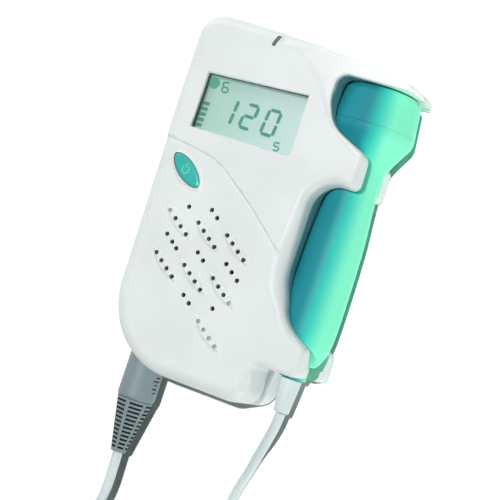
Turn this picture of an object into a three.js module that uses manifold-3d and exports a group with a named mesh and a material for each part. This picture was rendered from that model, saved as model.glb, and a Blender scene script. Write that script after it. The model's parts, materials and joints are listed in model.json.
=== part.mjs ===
// A pocket fetal doppler monitor with its ultrasound probe clipped into the side cradle.
// Millimetres. The monitor lies on its back: +Z comes out of the face, +Y is the top, +X the probe.
import * as THREE from 'three';
import { mergeVertices } from 'three/addons/utils/BufferGeometryUtils.js';
import Module from 'manifold-3d';

const wasm = await Module();
wasm.setup();

// General values
const CLEAR = 0.3;               // gap between pieces that touch on the real monitor
const OVERRUN = 3;               // how far a cut runs past what it cuts
const ARC_STEP = Math.PI / 15;   // angle between the points of a round corner
const MERGE = 1e-4;              // points closer than this are one point
const BEND_SHARE = 0.5;          // a bend takes up to this share of the straight beside it

// Monitor body
const BODY_W = 90.4;
const BODY_L = 136.4;
const BODY_T = 35;
const WALL = 2;
const EDGE_R = 5;                // rounding of the long front and back edges
const EDGE_STEPS = 4;
const EDGE_R_POCKET = 0.9;       // edge of the opening over the probe head
const EDGE_R_CLIP = 1.8;         // edge of the clip arms
const SEAM = 0.3;                // joint line between the two shells
const SIDE_LEAN = 2;             // the left side closes in by this much toward the foot
const TOP_DROP = 8.8;            // the top edge falls by this much toward the probe
const CORNER_TOP_R = 9;
const CORNER_FOOT_R = 30;
const CORNER_HEEL_R = 7;
const POCKET_INSET = 0.6;        // right end of the top wall, inside the full width
const POCKET_END_LEAN = 2.6;     // that end leans back by this much at the back
const FACE_STEP = 0.8;           // the display panel area stands this far above the rest of the face

// Probe, a turned shape about its own axis
const PROBE_HEAD_R = 15.8;
const PROBE_FACE_R = 14.4;
const PROBE_CHAMFER = 1.8;
const PROBE_WAIST_R = 8.9;
const PROBE_GRIP_R = 10.7;
const PROBE_TAIL_R = 6.8;
const PROBE_NECK_R = 5.1;
const PROBE_CAP_LEN = 14.2;      // from the face to the joint line
const PROBE_HEAD_LEN = 17.1;
const PROBE_CONE_LEN = 12.6;
const PROBE_WAIST_LEN = 11;
const PROBE_TAIL_LEN = 6.6;
const PROBE_NECK_LEN = 5.8;
const PROBE_FOOT_INSET = 14.8;    // foot of the neck above the foot of the body
const PROBE_WALL = 1.7;
const PROBE_SIDES = 30;
const CRADLE_GAP = 0.5;          // room between probe and cradle
const CRADLE_WALL = 2;
const HEAD_INSET = 11.5;         // probe face below the top of the body
const PROBE_TRAVEL = 45;         // the probe draws out sideways by this much

// Cradle openings around the probe
const POCKET_OVERHANG = 2.5;     // the shell covers this much of the head on its left side
const POCKET_TOP_GAP = 0.6;
const POCKET_TOP_FALL = 0.6;
const POCKET_CORNER_R = 4;
const CLIP_REACH_UPPER = 6.2;    // tips of the clip arms beyond the probe axis
const CLIP_REACH_LOWER = 7.6;
const CLIP_ROOT_R = 10;          // inside corner where the upper arm meets the body
const CLIP_TIP_R = 2.6;
const CLIP_FOOT_LIFT = 1.1;      // foot of the lower arm above the foot of the neck
const CLIP_HEIGHT_UPPER = 12.8;
const CLIP_FOOT_HEIGHT = 10.6;
const CLIP_UPPER_LIFT = 3.4;     // top of the upper arm above the start of the waist
const GRIP_SIDE = 9.8;           // shell side beside the grip, left of the probe axis
const HEEL_SIDE = 9;             // right side of the foot, left of the probe axis
const POCKET_BEND_R = 16;
const SWEEP_BEND_R = 22;

// Display
const LCD_H = 22.3;
const LCD_LEFT = 10.75;          // opening inside the left side of the body
const LCD_RIGHT = 3.55;          // opening short of the cradle's wall
const LCD_BELOW = 22.65;         // opening below the top of the body
const LCD_FLARE = 0.85;          // the opening is this much taller at its right end, above and below
const LCD_RIM = 1.8;             // glass under the edge of its opening
const LCD_LAND = 1.3;            // shell left above the glass
const WINDOW_T = 1.5;
const PANEL_T = 1.6;
const FRAME_RIM = 1.6;
const PANEL_MARGIN = 1.7;
const FRAME_LEG = 3;
const LIGHT_SHARE = 25 / 69;     // the light's part of the room it shares with the frame's legs

// Power button and the leaf pattern
const LEAF_ANGLE = -0.632;       // radians, long axis of button and leaves
const LEAF_L = 18.6;
const LEAF_W = 5.6;
const LEAF_H = 0.55;
const LEAF_BEVEL = 0.5;
const LEAF_COL = 12.85;
const LEAF_ROW = 16.5;
const LEAF_COL_FALL = 1.27;
const LEAF_LEFT = 0.25;          // middle column left of the speaker's middle
const LEAF_UP = 9.3;             // first row above the speaker's middle
const HOLE_R = 1.02;
const HOLE_PITCH = 3.84;
const HOLE_SIDES = 8;
const BUTTON_LEFT = 15;          // middle of the button inside the left side of the body
const BUTTON_SHARE = 0.3556;     // its way from the display down to the speaker's middle
const BUTTON_L = 16.7;
const BUTTON_W = 6.7;
const BUTTON_POWER = 1.85;       // outline is a little more pointed than an ellipse
const BUTTON_RIM = 1.5;          // leaf round the button
const BUTTON_TOP = 0.25;         // button top above the plain face
const BUTTON_FLANGE = 1;
const BUTTON_FLANGE_T = 1;
const BUTTON_TRAVEL = 0.6;
const BUTTON_BEVEL = 0.5;
const STEM_R = 1.6;

// Indicator light
const LIGHT_SLIT_W = 1.5;
const LIGHT_SLIT_LEFT = 33.2;    // from the left side of the body
const LIGHT_SLIT_LOW = 6.7;      // lower end below the top of the body
const LIGHT_SLIT_L = 2.7;
const LIGHT_SLIT_LEAN = 1.2;     // its upper end lies this far to the right
const LIGHT_SLIT_DEPTH = 4.4;
const LIGHT_GAP = 0.25;

// Boards and what they carry
const BOARD_T = 1.6;
const BOARD_LIFT = 2.25;         // above the cells
const BOARD_SIDE_GAP = 6.6;      // inside the left side of the body
const BOARD_CRADLE_GAP = 3.9;
const BOARD_TOP_GAP = 6.7;
const BOARD_FOOT_GAP = 26.2;
const SWITCH_SIZE = 6;
const SWITCH_H = 3.4;
const SWITCH_DEPTH = 4;
const CHIP_SIZE = 10;
const CHIP_T = 1.2;
const CHIP_RIGHT = 12.2;         // from the middle of the button
const CHIP_UP = 0.7;
const AMP_SIZE = 5;
const AMP_CRADLE_GAP = 12.6;
const AMP_DOWN = 11.25;          // below the foot of the display
const CAN_R = 3;
const CAN_ROOM = 4.6;            // from its top to the face of the housing
const CAN_EDGE = 0.7;            // from the side of the board
const CAN_UP = 6;                // from the foot of the board

// Screws
const BOSS_R = 3.3;
const SCREW_R = 1.2;
const SCREW_HEAD_R = 2.4;
const SCREW_HEAD_H = 1.6;
const SCREW_SEAT_Z = 4.8;        // underside of the screw heads above the back
const SCREW_LEN = 19;
const SCREW_SIDES = 12;
const POST_R = 2.3;
const PIN_R = 0.9;
const PIN_HEAD_R = 1.8;
const PIN_HEAD_H = 1.1;
const PIN_LEN = 6;
const PIN_GAP = 0.7;             // from the post to the speaker
const PIN_SPEAKER_UP = 5.6;
const PIN_DISPLAY_DOWN = 13.25;
const PIN_CRADLE_GAP = 15.6;
const PIN_TOP_GAP = 11.25;

// Side keys and volume wheel
const KEY_Y = 8;                 // keys lie this far above and below the middle
const KEY_L = 9;
const KEY_H = 4;
const KEY_SHARE = 7 / 29;        // middle of the keys on the way from the board to the roof
const KEY_PROUD = 0.9;
const KEY_TRAVEL = 0.6;
const KEY_FLANGE = 1;
const KEY_FLANGE_T = 1;
const KEY_BEVEL = 0.4;
const WHEEL_R = 8.4;
const WHEEL_T = 3.6;
const WHEEL_DOWN = 38.2;         // below the top of the body
const WHEEL_TEETH = 24;
const WHEEL_TOOTH = 0.35;
const WHEEL_SHAFT_R = 2;
const SCOOP_R = 22;              // thumb scoop in the wall at the wheel
const SCOOP_DEPTH = 1.3;
const POT_SIZE = 9;
const POT_T = 2.4;

// Headphone jack
const JACK_LEFT = 16.2;          // from the left side of the body
const JACK_W = 7;
const JACK_H = 6.2;
const JACK_L = 12;
const JACK_BARREL_R = 3;
const JACK_BORE_R = 1.8;

// Speaker
const SPEAKER_R = 17.6;
const SPEAKER_RIGHT = 0.1;       // right of the middle between the left wall and the cradle
const SPEAKER_UP = 0.875;        // above the middle between the display and the foot
const SPEAKER_LIFT = 0.9;        // magnet above the board
const SPEAKER_LIP = 1.8;
const SPEAKER_LIP_T = 1.1;
const SPEAKER_RIM = 1.6;
const SPEAKER_FLOOR_R = 9.6;
const SPEAKER_METAL = 0.6;
const SPEAKER_SIDES = 24;
const GASKET_T = 1;
const CONE_T = 0.5;
const CONE_SHARE = 32 / 47;      // cone's part of the depth inside the frame
const CAP_R = 4.6;
const MAGNET_R = 8.6;
const MAGNET_SHARE = 4 / 11;     // magnet's part of the room it shares with the frame

// Battery bay and door
const CELL_R = 7.15;
const CELL_L = 49.2;
const CELL_NUB_R = 2.7;
const CELL_NUB_L = 1.3;
const CELL_SIDES = 20;
const CELL_Z = 9.6;
const BAY_RIGHT = 8.5;           // right of the speaker's middle
const BAY_FOOT_GAP = 6.6;        // from the foot of the body
const BAY_RIB = 1.4;
const BAY_FLOOR = 3.4;           // thickness of the back round the bay
const SPRING_R = 3;
const SPRING_L = 3.6;
const SPRING_WIRE_R = 0.35;
const SPRING_TURNS = 3;
const CONTACT_T = 0.5;
const CONTACT_W = 9;
const CONTACT_H = 10;
const DOOR_T = 1.5;
const DOOR_LIP = 1.5;            // door beyond the bay on each side
const DOOR_TRAVEL = 12;
const DOOR_GROOVES = 6;
const DOOR_GROOVE_W = 0.9;
const DOOR_GROOVE_T = 0.5;
const DOOR_GROOVE_PITCH = 2.2;
const DOOR_GROOVE_L = 14;

// Probe inside
const DISC_R = 9.6;
const DISC_T = 1;
const DISC_SPLIT = 0.8;
const BACKING_R = 12;
const BACKING_T = 6;
const CHIP_BOARD_W = 13.8;
const CHIP_BOARD_FOOT_GAP = 17;    // above the foot of the grip
const CHIP_BOARD_T = 1.2;

// Strain reliefs, plug and socket
const RELIEF_R = 4;
const RELIEF_END_R = 2.9;
const RELIEF_L = 12.8;
const PLUG_R = 7.3;
const PLUG_BAY_GAP = 0.65;
const PLUG_DEPTH = 12.2;         // how far the collar goes into the body
const PLUG_L = 25;
const PLUG_BEVEL = 0.6;
const NOSE_R = 4.4;
const NOSE_L = 8;
const SOCKET_R = 7.2;
const SOCKET_L = 10.4;
const SOCKET_DEPTH = 14.8;       // its foot above the foot of the body
const BOOT_R = 6.9;
const BOOT_END_R = 2.8;
const BOOT_L = 20.6;
const BOOT_RIBS = 12;
const BOOT_GROOVE = 0.55;
const BOOT_SIDES = 12;

// Cable
const CABLE_R = 1.9;
const CABLE_SIDES = 8;
const CABLE_STEP = 9;
const LOOP_STEPS = 24;
const LOOP_SIDES = 6;
const COIL_X = -9;
const COIL_Y = -153;
const COIL_MEAN_R = 22.5;
const COIL_LAYERS = 4;
const COIL_TURNS = 9.5;
const COIL_PITCH = 4.4;          // from turn to turn in a layer
const COIL_LIFT = 1.3;           // underside of the lowest turns above the table
const COIL_LAYER = 4.4;          // from layer to layer
const TIE_W = 9;
const TIE_T = 0.8;

// Values that follow
const HALF_W = BODY_W / 2;
const HALF_L = BODY_L / 2;
const SEAM_Z = BODY_T / 2;
const FACE_Z = BODY_T - FACE_STEP;
const ROOF_Z = FACE_Z - WALL;
const PROBE_X = HALF_W - PROBE_HEAD_R;
const PROBE_Z = BODY_T / 2;
const PROBE_TOP = HALF_L - HEAD_INSET;
const HEAD_BASE = PROBE_TOP - PROBE_HEAD_LEN;
const WAIST_TOP = HEAD_BASE - PROBE_CONE_LEN;
const WAIST_FOOT = WAIST_TOP - PROBE_WAIST_LEN;
const FOOT_Y = -HALF_L;
const NECK_FOOT = FOOT_Y + PROBE_FOOT_INSET;
const TAIL_FOOT = NECK_FOOT + PROBE_NECK_LEN;
const GRIP_FOOT = TAIL_FOOT + PROBE_TAIL_LEN;
const HOLLOW_RIGHT = PROBE_X - PROBE_HEAD_R - CRADLE_WALL;
const LCD_W = HOLLOW_RIGHT - LCD_RIGHT + HALF_W - LCD_LEFT;
const LCD_X = -HALF_W + LCD_LEFT + LCD_W / 2;
const LCD_Y = HALF_L - LCD_BELOW - LCD_H / 2;
const LCD_FOOT = LCD_Y - LCD_H / 2;
const GRIP_WALL_X = PROBE_X - PROBE_GRIP_R - CRADLE_GAP - CRADLE_WALL;
const SPEAKER_X = (GRIP_WALL_X - HALF_W + WALL) / 2 + SPEAKER_RIGHT;
const SPEAKER_Y = (LCD_FOOT + FOOT_Y) / 2 + SPEAKER_UP;
const LEAF_X = SPEAKER_X - LEAF_LEFT - LEAF_COL;
const LEAF_Y = SPEAKER_Y + LEAF_UP;
const BUTTON_X = -HALF_W + BUTTON_LEFT;
const BUTTON_Y = LCD_FOOT + (SPEAKER_Y - LCD_FOOT) * BUTTON_SHARE;
const LIGHT_SLIT_X = -HALF_W + LIGHT_SLIT_LEFT;
const BOARD_Z = CELL_Z + CELL_R + BOARD_LIFT;
const BOARD_TOP_Z = BOARD_Z + BOARD_T;
const BOARD_LEFT = -HALF_W + BOARD_SIDE_GAP;
const BOARD_RIGHT = HOLLOW_RIGHT - BOARD_CRADLE_GAP;
const BOARD_TOP = HALF_L - BOARD_TOP_GAP;
const BOARD_FOOT = FOOT_Y + BOARD_FOOT_GAP;
const KEY_Z = BOARD_TOP_Z + (ROOF_Z - BOARD_TOP_Z) * KEY_SHARE;
const WHEEL_Y = HALF_L - WHEEL_DOWN;
const JACK_X = -HALF_W + JACK_LEFT;
const BAY_X = SPEAKER_X + BAY_RIGHT;
const BAY_HALF = 2 * CELL_R + 1.5 * CLEAR;
const BAY_FOOT = FOOT_Y + BAY_FOOT_GAP;
const PLUG_X = BAY_X - BAY_HALF - BAY_RIB - PLUG_BAY_GAP - PLUG_R;
const PLUG_TOP = FOOT_Y + PLUG_DEPTH;
const SOCKET_FOOT = FOOT_Y + SOCKET_DEPTH;
const SOCKET_TOP = SOCKET_FOOT + SOCKET_L;

// Materials
const paint = (color, roughness, metalness = 0) => new THREE.MeshStandardMaterial({ color, roughness, metalness });
const shellWhite = paint(0xe9eded, 0.42);
const backWhite = paint(0xe2e6e6, 0.5);
const probeTeal = paint(0x38c6b4, 0.28);
const buttonTeal = paint(0x37bfae, 0.35);
const cableGrey = paint(0xc9d2d1, 0.55);
const plugGrey = paint(0x8b9a9b, 0.5);
const clearGlass = paint(0xd5e6de, 0.1);
const displayGreen = paint(0xb9dccb, 0.35);
const darkGrey = paint(0x4b5254, 0.5);
const smokeGrey = paint(0x737b7f, 0.35);
const boardGreen = paint(0x2f6b45, 0.6);
const chipBlack = paint(0x1c1d1f, 0.5);
const steel = paint(0xb9bcbf, 0.35, 1);
const copper = paint(0xb87a4a, 0.4, 1);
const paperCone = paint(0x2b2c2e, 0.8);
const foam = paint(0x34363a, 0.9);
const cellGreen = paint(0x3d6f8f, 0.4);
const rubber = paint(0x5a6264, 0.8);

// Closed meshes to solids and back
function signedVolume(points, faces) {
  let sum = 0;
  const [a, b, c] = [new THREE.Vector3(), new THREE.Vector3(), new THREE.Vector3()];
  for (let i = 0; i < faces.length; i += 3) {
    a.fromArray(points, faces[i] * 3);
    b.fromArray(points, faces[i + 1] * 3);
    c.fromArray(points, faces[i + 2] * 3);
    sum += a.dot(b.cross(c));
  }
  return sum;
}

function toSolid(geometry) {
  const bare = new THREE.BufferGeometry();
  bare.setAttribute('position', geometry.getAttribute('position').clone());
  if (geometry.index) bare.setIndex(geometry.index.clone());
  const merged = mergeVertices(bare, MERGE);
  const points = new Float32Array(merged.getAttribute('position').array);
  const faces = [];
  for (let i = 0; i < merged.index.count; i += 3) {
    const [a, b, c] = [merged.index.getX(i), merged.index.getX(i + 1), merged.index.getX(i + 2)];
    if (a !== b && b !== c && c !== a) faces.push(a, b, c);
  }
  if (signedVolume(points, faces) < 0) faces.reverse();
  const triVerts = new Uint32Array(faces);
  return new wasm.Manifold(new wasm.Mesh({ numProp: 3, vertProperties: points, triVerts }));
}

function toGeometry(solid) {
  const { numProp, vertProperties, triVerts } = solid.getMesh();
  const position = new Float32Array((vertProperties.length / numProp) * 3);
  for (let i = 0; i < position.length / 3; i++) {
    position.set(vertProperties.subarray(i * numProp, i * numProp + 3), i * 3);
  }
  const geometry = new THREE.BufferGeometry();
  geometry.setAttribute('position', new THREE.BufferAttribute(position, 3));
  geometry.setIndex(new THREE.BufferAttribute(new Uint32Array(triVerts), 1));
  geometry.computeVertexNormals();
  return geometry;
}

// Basic solids, each placed where it belongs
const moved = (geometry, x, y, z) => geometry.translate(x, y, z);
const box = (x0, x1, y0, y1, z0, z1) =>
  toSolid(moved(new THREE.BoxGeometry(x1 - x0, y1 - y0, z1 - z0), (x0 + x1) / 2, (y0 + y1) / 2, (z0 + z1) / 2));

function cylinderZ(x, y, radius, z0, z1, sides = SCREW_SIDES) {
  const body = new THREE.CylinderGeometry(radius, radius, z1 - z0, sides);
  return toSolid(moved(body.rotateX(Math.PI / 2), x, y, (z0 + z1) / 2));
}

function cylinderY(x, z, radius, y0, y1, sides = SCREW_SIDES) {
  return toSolid(moved(new THREE.CylinderGeometry(radius, radius, y1 - y0, sides), x, (y0 + y1) / 2, z));
}

// A profile of [radius, height] turned about the Y axis
function turnedY(profile, x, z, sides) {
  const points = profile.map(([r, y]) => new THREE.Vector2(r, y));
  return toSolid(moved(new THREE.LatheGeometry(points, sides), x, 0, z));
}

// The same about the Z axis
function turnedZ(profile, x, y, sides) {
  const points = profile.map(([r, z]) => new THREE.Vector2(r, z));
  return toSolid(moved(new THREE.LatheGeometry(points, sides).rotateX(Math.PI / 2), x, y, 0));
}

function prism(shape, z0, z1, curveSegments = 8) {
  const body = new THREE.ExtrudeGeometry(shape, { depth: z1 - z0, bevelEnabled: false, curveSegments });
  return toSolid(moved(body, 0, 0, z0));
}

// A prism along Y from its corners in the plane of X and Z
function prismY(corners, y0, y1) {
  const shape = new THREE.Shape(corners.map(([x, z]) => new THREE.Vector2(x, z)));
  const body = new THREE.ExtrudeGeometry(shape, { depth: y1 - y0, bevelEnabled: false });
  return toSolid(moved(body.rotateX(Math.PI / 2), 0, y1, 0));
}

// Outline from corners of [x, y, corner radius, edge radius], with round corners as arcs.
// Each point keeps its outward normal and the radius of the edge there.
function roundedOutline(corners) {
  const outline = [];
  const count = corners.length;
  for (let i = 0; i < count; i++) {
    const [x, y, radius, edge, bend = BEND_SHARE] = corners[i];
    const before = corners[(i + count - 1) % count];
    const after = corners[(i + 1) % count];
    const into = new THREE.Vector2(x - before[0], y - before[1]);
    const out = new THREE.Vector2(after[0] - x, after[1] - y);
    const room = Math.min(into.length(), out.length()) * bend;
    into.normalize();
    out.normalize();
    const turn = Math.atan2(into.x * out.y - into.y * out.x, into.dot(out));
    const reach = Math.min(radius * Math.tan(Math.abs(turn) / 2), room);
    const arc = Math.max(reach / Math.tan(Math.abs(turn) / 2), 0);
    const steps = Math.max(1, Math.ceil(Math.abs(turn) / ARC_STEP));
    const side = Math.sign(turn);
    const start = new THREE.Vector2(x, y).addScaledVector(into, -reach);
    const centre = new THREE.Vector2(start.x - into.y * arc * side, start.y + into.x * arc * side);
    for (let k = 0; k <= steps; k++) {
      const angle = (turn * k) / steps;
      const heading = into.clone().rotateAround(new THREE.Vector2(), angle);
      const normal = new THREE.Vector2(heading.y, -heading.x);
      const point = centre.clone().addScaledVector(normal, arc * side);
      outline.push({ point, normal, edge });
    }
  }
  return outline;
}

const inset = (outline, depth) =>
  outline.map(({ point, normal, edge }) => ({
    point: point.clone().addScaledVector(normal, -depth),
    normal,
    edge: Math.max(edge - depth, MERGE),
  }));

// A plate of that outline from one level to another, with its edge rounded at the far level
function roundedPlate(outline, zFlat, zRound) {
  const way = Math.sign(zRound - zFlat);
  const rings = [outline.map(({ point }) => [point.x, point.y, zFlat])];
  for (let k = 0; k <= EDGE_STEPS; k++) {
    const angle = (k / EDGE_STEPS) * (Math.PI / 2);
    rings.push(outline.map(({ point, normal, edge }) => {
      const back = edge * (1 - Math.cos(angle));
      return [point.x - normal.x * back, point.y - normal.y * back, zRound - way * edge * (1 - Math.sin(angle))];
    }));
  }
  const count = outline.length;
  const faces = [];
  for (let k = 0; k + 1 < rings.length; k++) {
    for (let i = 0; i < count; i++) {
      const j = (i + 1) % count;
      const [a, b, c, d] = [k * count + i, k * count + j, (k + 1) * count + i, (k + 1) * count + j];
      faces.push(a, b, d, a, d, c);
    }
  }
  const cap = (ring, base, flip) => {
    const flat = ring.map(([x, y]) => new THREE.Vector2(x, y));
    for (const [a, b, c] of THREE.ShapeUtils.triangulateShape(flat, [])) {
      faces.push(base + a, base + (flip ? c : b), base + (flip ? b : c));
    }
  };
  cap(rings[0], 0, true);
  cap(rings[rings.length - 1], (rings.length - 1) * count, false);
  const geometry = new THREE.BufferGeometry();
  geometry.setAttribute('position', new THREE.Float32BufferAttribute(rings.flat(2), 3));
  geometry.setIndex(faces);
  return toSolid(geometry);
}

// Outline of the monitor, clip arms and pocket included, counterclockwise seen from the front
const clipTopUpper = WAIST_TOP + CLIP_UPPER_LIFT;
const clipFootUpper = clipTopUpper - CLIP_HEIGHT_UPPER;
const clipFootLower = NECK_FOOT + CLIP_FOOT_LIFT;
const clipTopLower = clipFootLower + CLIP_FOOT_HEIGHT;
const pocketTop = PROBE_TOP + POCKET_TOP_GAP;
const pocketLeft = PROBE_X - PROBE_HEAD_R + POCKET_OVERHANG;
const gripLeft = PROBE_X - GRIP_SIDE;
const heelRight = PROBE_X - HEEL_SIDE;
const tipUpper = PROBE_X + CLIP_REACH_UPPER;
const tipLower = PROBE_X + CLIP_REACH_LOWER;
const topRight = HALF_W - POCKET_INSET;
const topRightY = HALF_L - TOP_DROP;
// Corners of the pocket below the head, and of the sweep beside the grip, as shares of
// the way from the pocket's left side to the clip tip and from its low end to its high end
const pocketShares = [[0, 0.62], [0.22, 0.27]];
const sweepShares = [[0, 0.38], [0.42, 0.1]];
// Bends of the top edge from the right, as shares of the way across and of its fall
const topShares = [[0.677, 0.4], [0.212, 0]];
const share = (from, to, part) => from + (to - from) * part;

const bodyCorners = [
  [-HALF_W + SIDE_LEAN, FOOT_Y, CORNER_FOOT_R, EDGE_R],
  [heelRight, FOOT_Y, CORNER_HEEL_R, EDGE_R],
  [heelRight, clipFootLower, CLIP_TIP_R, EDGE_R_CLIP],
  [tipLower, clipFootLower, CLIP_TIP_R, EDGE_R_CLIP],
  [tipLower, clipTopLower, CLIP_TIP_R, EDGE_R_CLIP],
  ...sweepShares.toReversed().map(([across, up]) => [
    share(gripLeft, tipLower, across), share(clipTopLower, clipFootUpper, up), SWEEP_BEND_R, EDGE_R - across * EDGE_R,
  ]),
  [gripLeft, clipFootUpper, CLIP_ROOT_R, EDGE_R - EDGE_R_CLIP, 0.7],
  [tipUpper, clipFootUpper, CLIP_TIP_R, EDGE_R_CLIP],
  [tipUpper, clipTopUpper, CLIP_TIP_R, EDGE_R_CLIP],
  ...pocketShares.toReversed().map(([across, up]) => [
    share(pocketLeft, tipUpper, across), share(clipTopUpper, pocketTop, up), POCKET_BEND_R, EDGE_R_POCKET,
  ]),
  [pocketLeft, pocketTop, POCKET_CORNER_R, EDGE_R_POCKET],
  [topRight, pocketTop - POCKET_TOP_FALL, EDGE_R_POCKET, EDGE_R_POCKET],
  [topRight, topRightY, EDGE_R_CLIP, EDGE_R_CLIP],
  ...topShares.map(([across, fall]) => [
    share(-HALF_W, HALF_W, across), share(HALF_L, topRightY, fall), BODY_L * 2, share(EDGE_R, EDGE_R_CLIP, across / 2),
  ]),
  [-HALF_W, HALF_L, CORNER_TOP_R, EDGE_R],
  [-HALF_W, HALF_L / 2, BODY_L, EDGE_R],
];
const bodyOutline = roundedOutline(bodyCorners);

// The hollow stays left of the cradle
const innerCorners = [
  [-HALF_W + SIDE_LEAN + WALL, FOOT_Y + WALL, CORNER_FOOT_R - WALL, EDGE_R - WALL],
  [heelRight - WALL, FOOT_Y + WALL, CORNER_HEEL_R - WALL, EDGE_R - WALL],
  [heelRight - WALL, clipFootUpper, WALL, WALL],
  [HOLLOW_RIGHT, clipTopUpper, CORNER_HEEL_R, WALL],
  [HOLLOW_RIGHT, share(topRightY, HALF_L, 0.4) - WALL, WALL, WALL],
  [-HALF_W + WALL, HALF_L - WALL, CORNER_TOP_R - WALL, EDGE_R - WALL],
  [-HALF_W + WALL, HALF_L / 2, BODY_L, EDGE_R - WALL],
];
const innerOutline = roundedOutline(innerCorners);

// Half profile of the probe's outside, from its face down, grown by a margin
const gripShares = [[0, 0.1], [0.3, 0.78], [0.62, 1], [0.88, 0.97], [1, 0.62]];
function probeProfile(margin) {
  const bulge = PROBE_GRIP_R - PROBE_WAIST_R;
  return [
    [PROBE_FACE_R - PROBE_CHAMFER + margin, PROBE_TOP + margin],
    [PROBE_FACE_R + margin, PROBE_TOP - PROBE_CHAMFER + margin],
    [PROBE_HEAD_R + margin, HEAD_BASE + PROBE_CHAMFER],
    [PROBE_HEAD_R - CLEAR + margin, HEAD_BASE],
    [share(PROBE_HEAD_R, PROBE_WAIST_R, 0.72) + margin, share(HEAD_BASE, WAIST_TOP, 0.66)],
    [PROBE_WAIST_R + CLEAR + margin, WAIST_TOP],
    [PROBE_WAIST_R + margin, share(WAIST_TOP, WAIST_FOOT, 0.5)],
    ...gripShares.map(([down, out]) => [PROBE_WAIST_R + bulge * out + margin, share(WAIST_FOOT, GRIP_FOOT, down)]),
    [share(PROBE_GRIP_R, PROBE_TAIL_R, 0.6) + margin, share(GRIP_FOOT, TAIL_FOOT, 0.68)],
    [PROBE_TAIL_R + margin, TAIL_FOOT - margin],
  ];
}

const closedProfile = (profile) => [[0, profile[0][1]], ...profile, [0, profile[profile.length - 1][1]]];

// The room that the probe needs in its cradle and on its way out
function cradleRoom(margin, reach) {
  const profile = probeProfile(margin);
  const seat = turnedY(closedProfile(profile), PROBE_X, PROBE_Z, PROBE_SIDES);
  const neck = PROBE_NECK_R + margin;
  const side = new THREE.Shape();
  const ends = [...profile, [neck, TAIL_FOOT - margin], [neck, clipFootLower - OVERRUN]];
  ends.forEach(([r, y], i) => (i ? side.lineTo(r, y) : side.moveTo(r, y)));
  ends.toReversed().forEach(([r, y]) => side.lineTo(-r, y));
  const way = new THREE.ExtrudeGeometry(side, { depth: reach, bevelEnabled: false });
  way.rotateY(Math.PI / 2);
  return seat.add(cylinderY(PROBE_X, PROBE_Z, neck, clipFootLower - OVERRUN, TAIL_FOOT, PROBE_SIDES))
    .add(toSolid(moved(way, PROBE_X, 0, PROBE_Z)));
}

const cradle = cradleRoom(CRADLE_GAP, PROBE_HEAD_R + OVERRUN);
const cradleShell = turnedY(closedProfile(probeProfile(CRADLE_GAP + CRADLE_WALL)), PROBE_X, PROBE_Z, PROBE_SIDES);

// Outlines in the face
function ellipseShape(cx, cy, length, width, angle, power = 2, steps = 28) {
  const shape = new THREE.Shape();
  for (let i = 0; i < steps; i++) {
    const t = (i / steps) * 2 * Math.PI;
    const px = (length / 2) * Math.sign(Math.cos(t)) * Math.abs(Math.cos(t)) ** (2 / power);
    const py = (width / 2) * Math.sign(Math.sin(t)) * Math.abs(Math.sin(t)) ** (2 / power);
    const x = cx + px * Math.cos(angle) - py * Math.sin(angle);
    const y = cy + px * Math.sin(angle) + py * Math.cos(angle);
    if (i) shape.lineTo(x, y);
    else shape.moveTo(x, y);
  }
  shape.closePath();
  return shape;
}

function leafShape(cx, cy, length, width, angle) {
  const across = (length * length + width * width) / (4 * width);
  const half = Math.asin(length / 2 / across);
  const shape = new THREE.Shape();
  const steps = 7;
  for (let side = 0; side < 2; side++) {
    for (let i = 0; i < steps; i++) {
      const t = -half + (2 * half * i) / steps;
      const px = across * Math.sin(t) * (side ? -1 : 1);
      const py = (across * Math.cos(t) - (across - width / 2)) * (side ? -1 : 1);
      const x = cx + px * Math.cos(angle) - py * Math.sin(angle);
      const y = cy + px * Math.sin(angle) + py * Math.cos(angle);
      if (side || i) shape.lineTo(x, y);
      else shape.moveTo(x, y);
    }
  }
  shape.closePath();
  return shape;
}

const lcdShape = (grow) => {
  const shape = new THREE.Shape();
  const [x, y] = [LCD_W / 2 + grow, LCD_H / 2 + grow];
  shape.moveTo(LCD_X - x, LCD_Y - y + LCD_FLARE / 2);
  shape.lineTo(LCD_X + x, LCD_Y - y - LCD_FLARE / 2);
  shape.lineTo(LCD_X + x, LCD_Y + y + LCD_FLARE / 2);
  shape.lineTo(LCD_X - x, LCD_Y + y - LCD_FLARE / 2);
  shape.closePath();
  return shape;
};

// Borders of the raised display area, as shares of the half width and half length
const brimShares = [[-0.25, 1.05], [-0.215, 0.93], [0.03, 0.847], [0.206, 0.75], [0.343, 0.607], [0.47, 0.525]];
const creaseShares = [
  [-1.1, 0.27], [-0.874, 0.268], [-0.451, 0.217], [-0.157, 0.1], [0.115, -0.031], [0.325, -0.147], [0.42, -0.193],
];

function faceRegion(shares, rest) {
  const curve = new THREE.SplineCurve(shares.map(([x, y]) => new THREE.Vector2(x * HALF_W, y * HALF_L)));
  return new THREE.Shape([...curve.getPoints(shares.length * 3), ...rest.map(([x, y]) => new THREE.Vector2(x, y))]);
}

const [far, low] = [HALF_W + OVERRUN, FOOT_Y - OVERRUN];
const besideHead = faceRegion(brimShares, [
  [share(pocketLeft, tipUpper, 0.6), clipTopUpper], [far, clipTopUpper], [far, HALF_L + OVERRUN],
]);
const creaseEnd = creaseShares.at(-1)[1] * HALF_L;
const belowDisplay = faceRegion(creaseShares, [[far, creaseEnd], [far, low], [-far, low]]);

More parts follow.
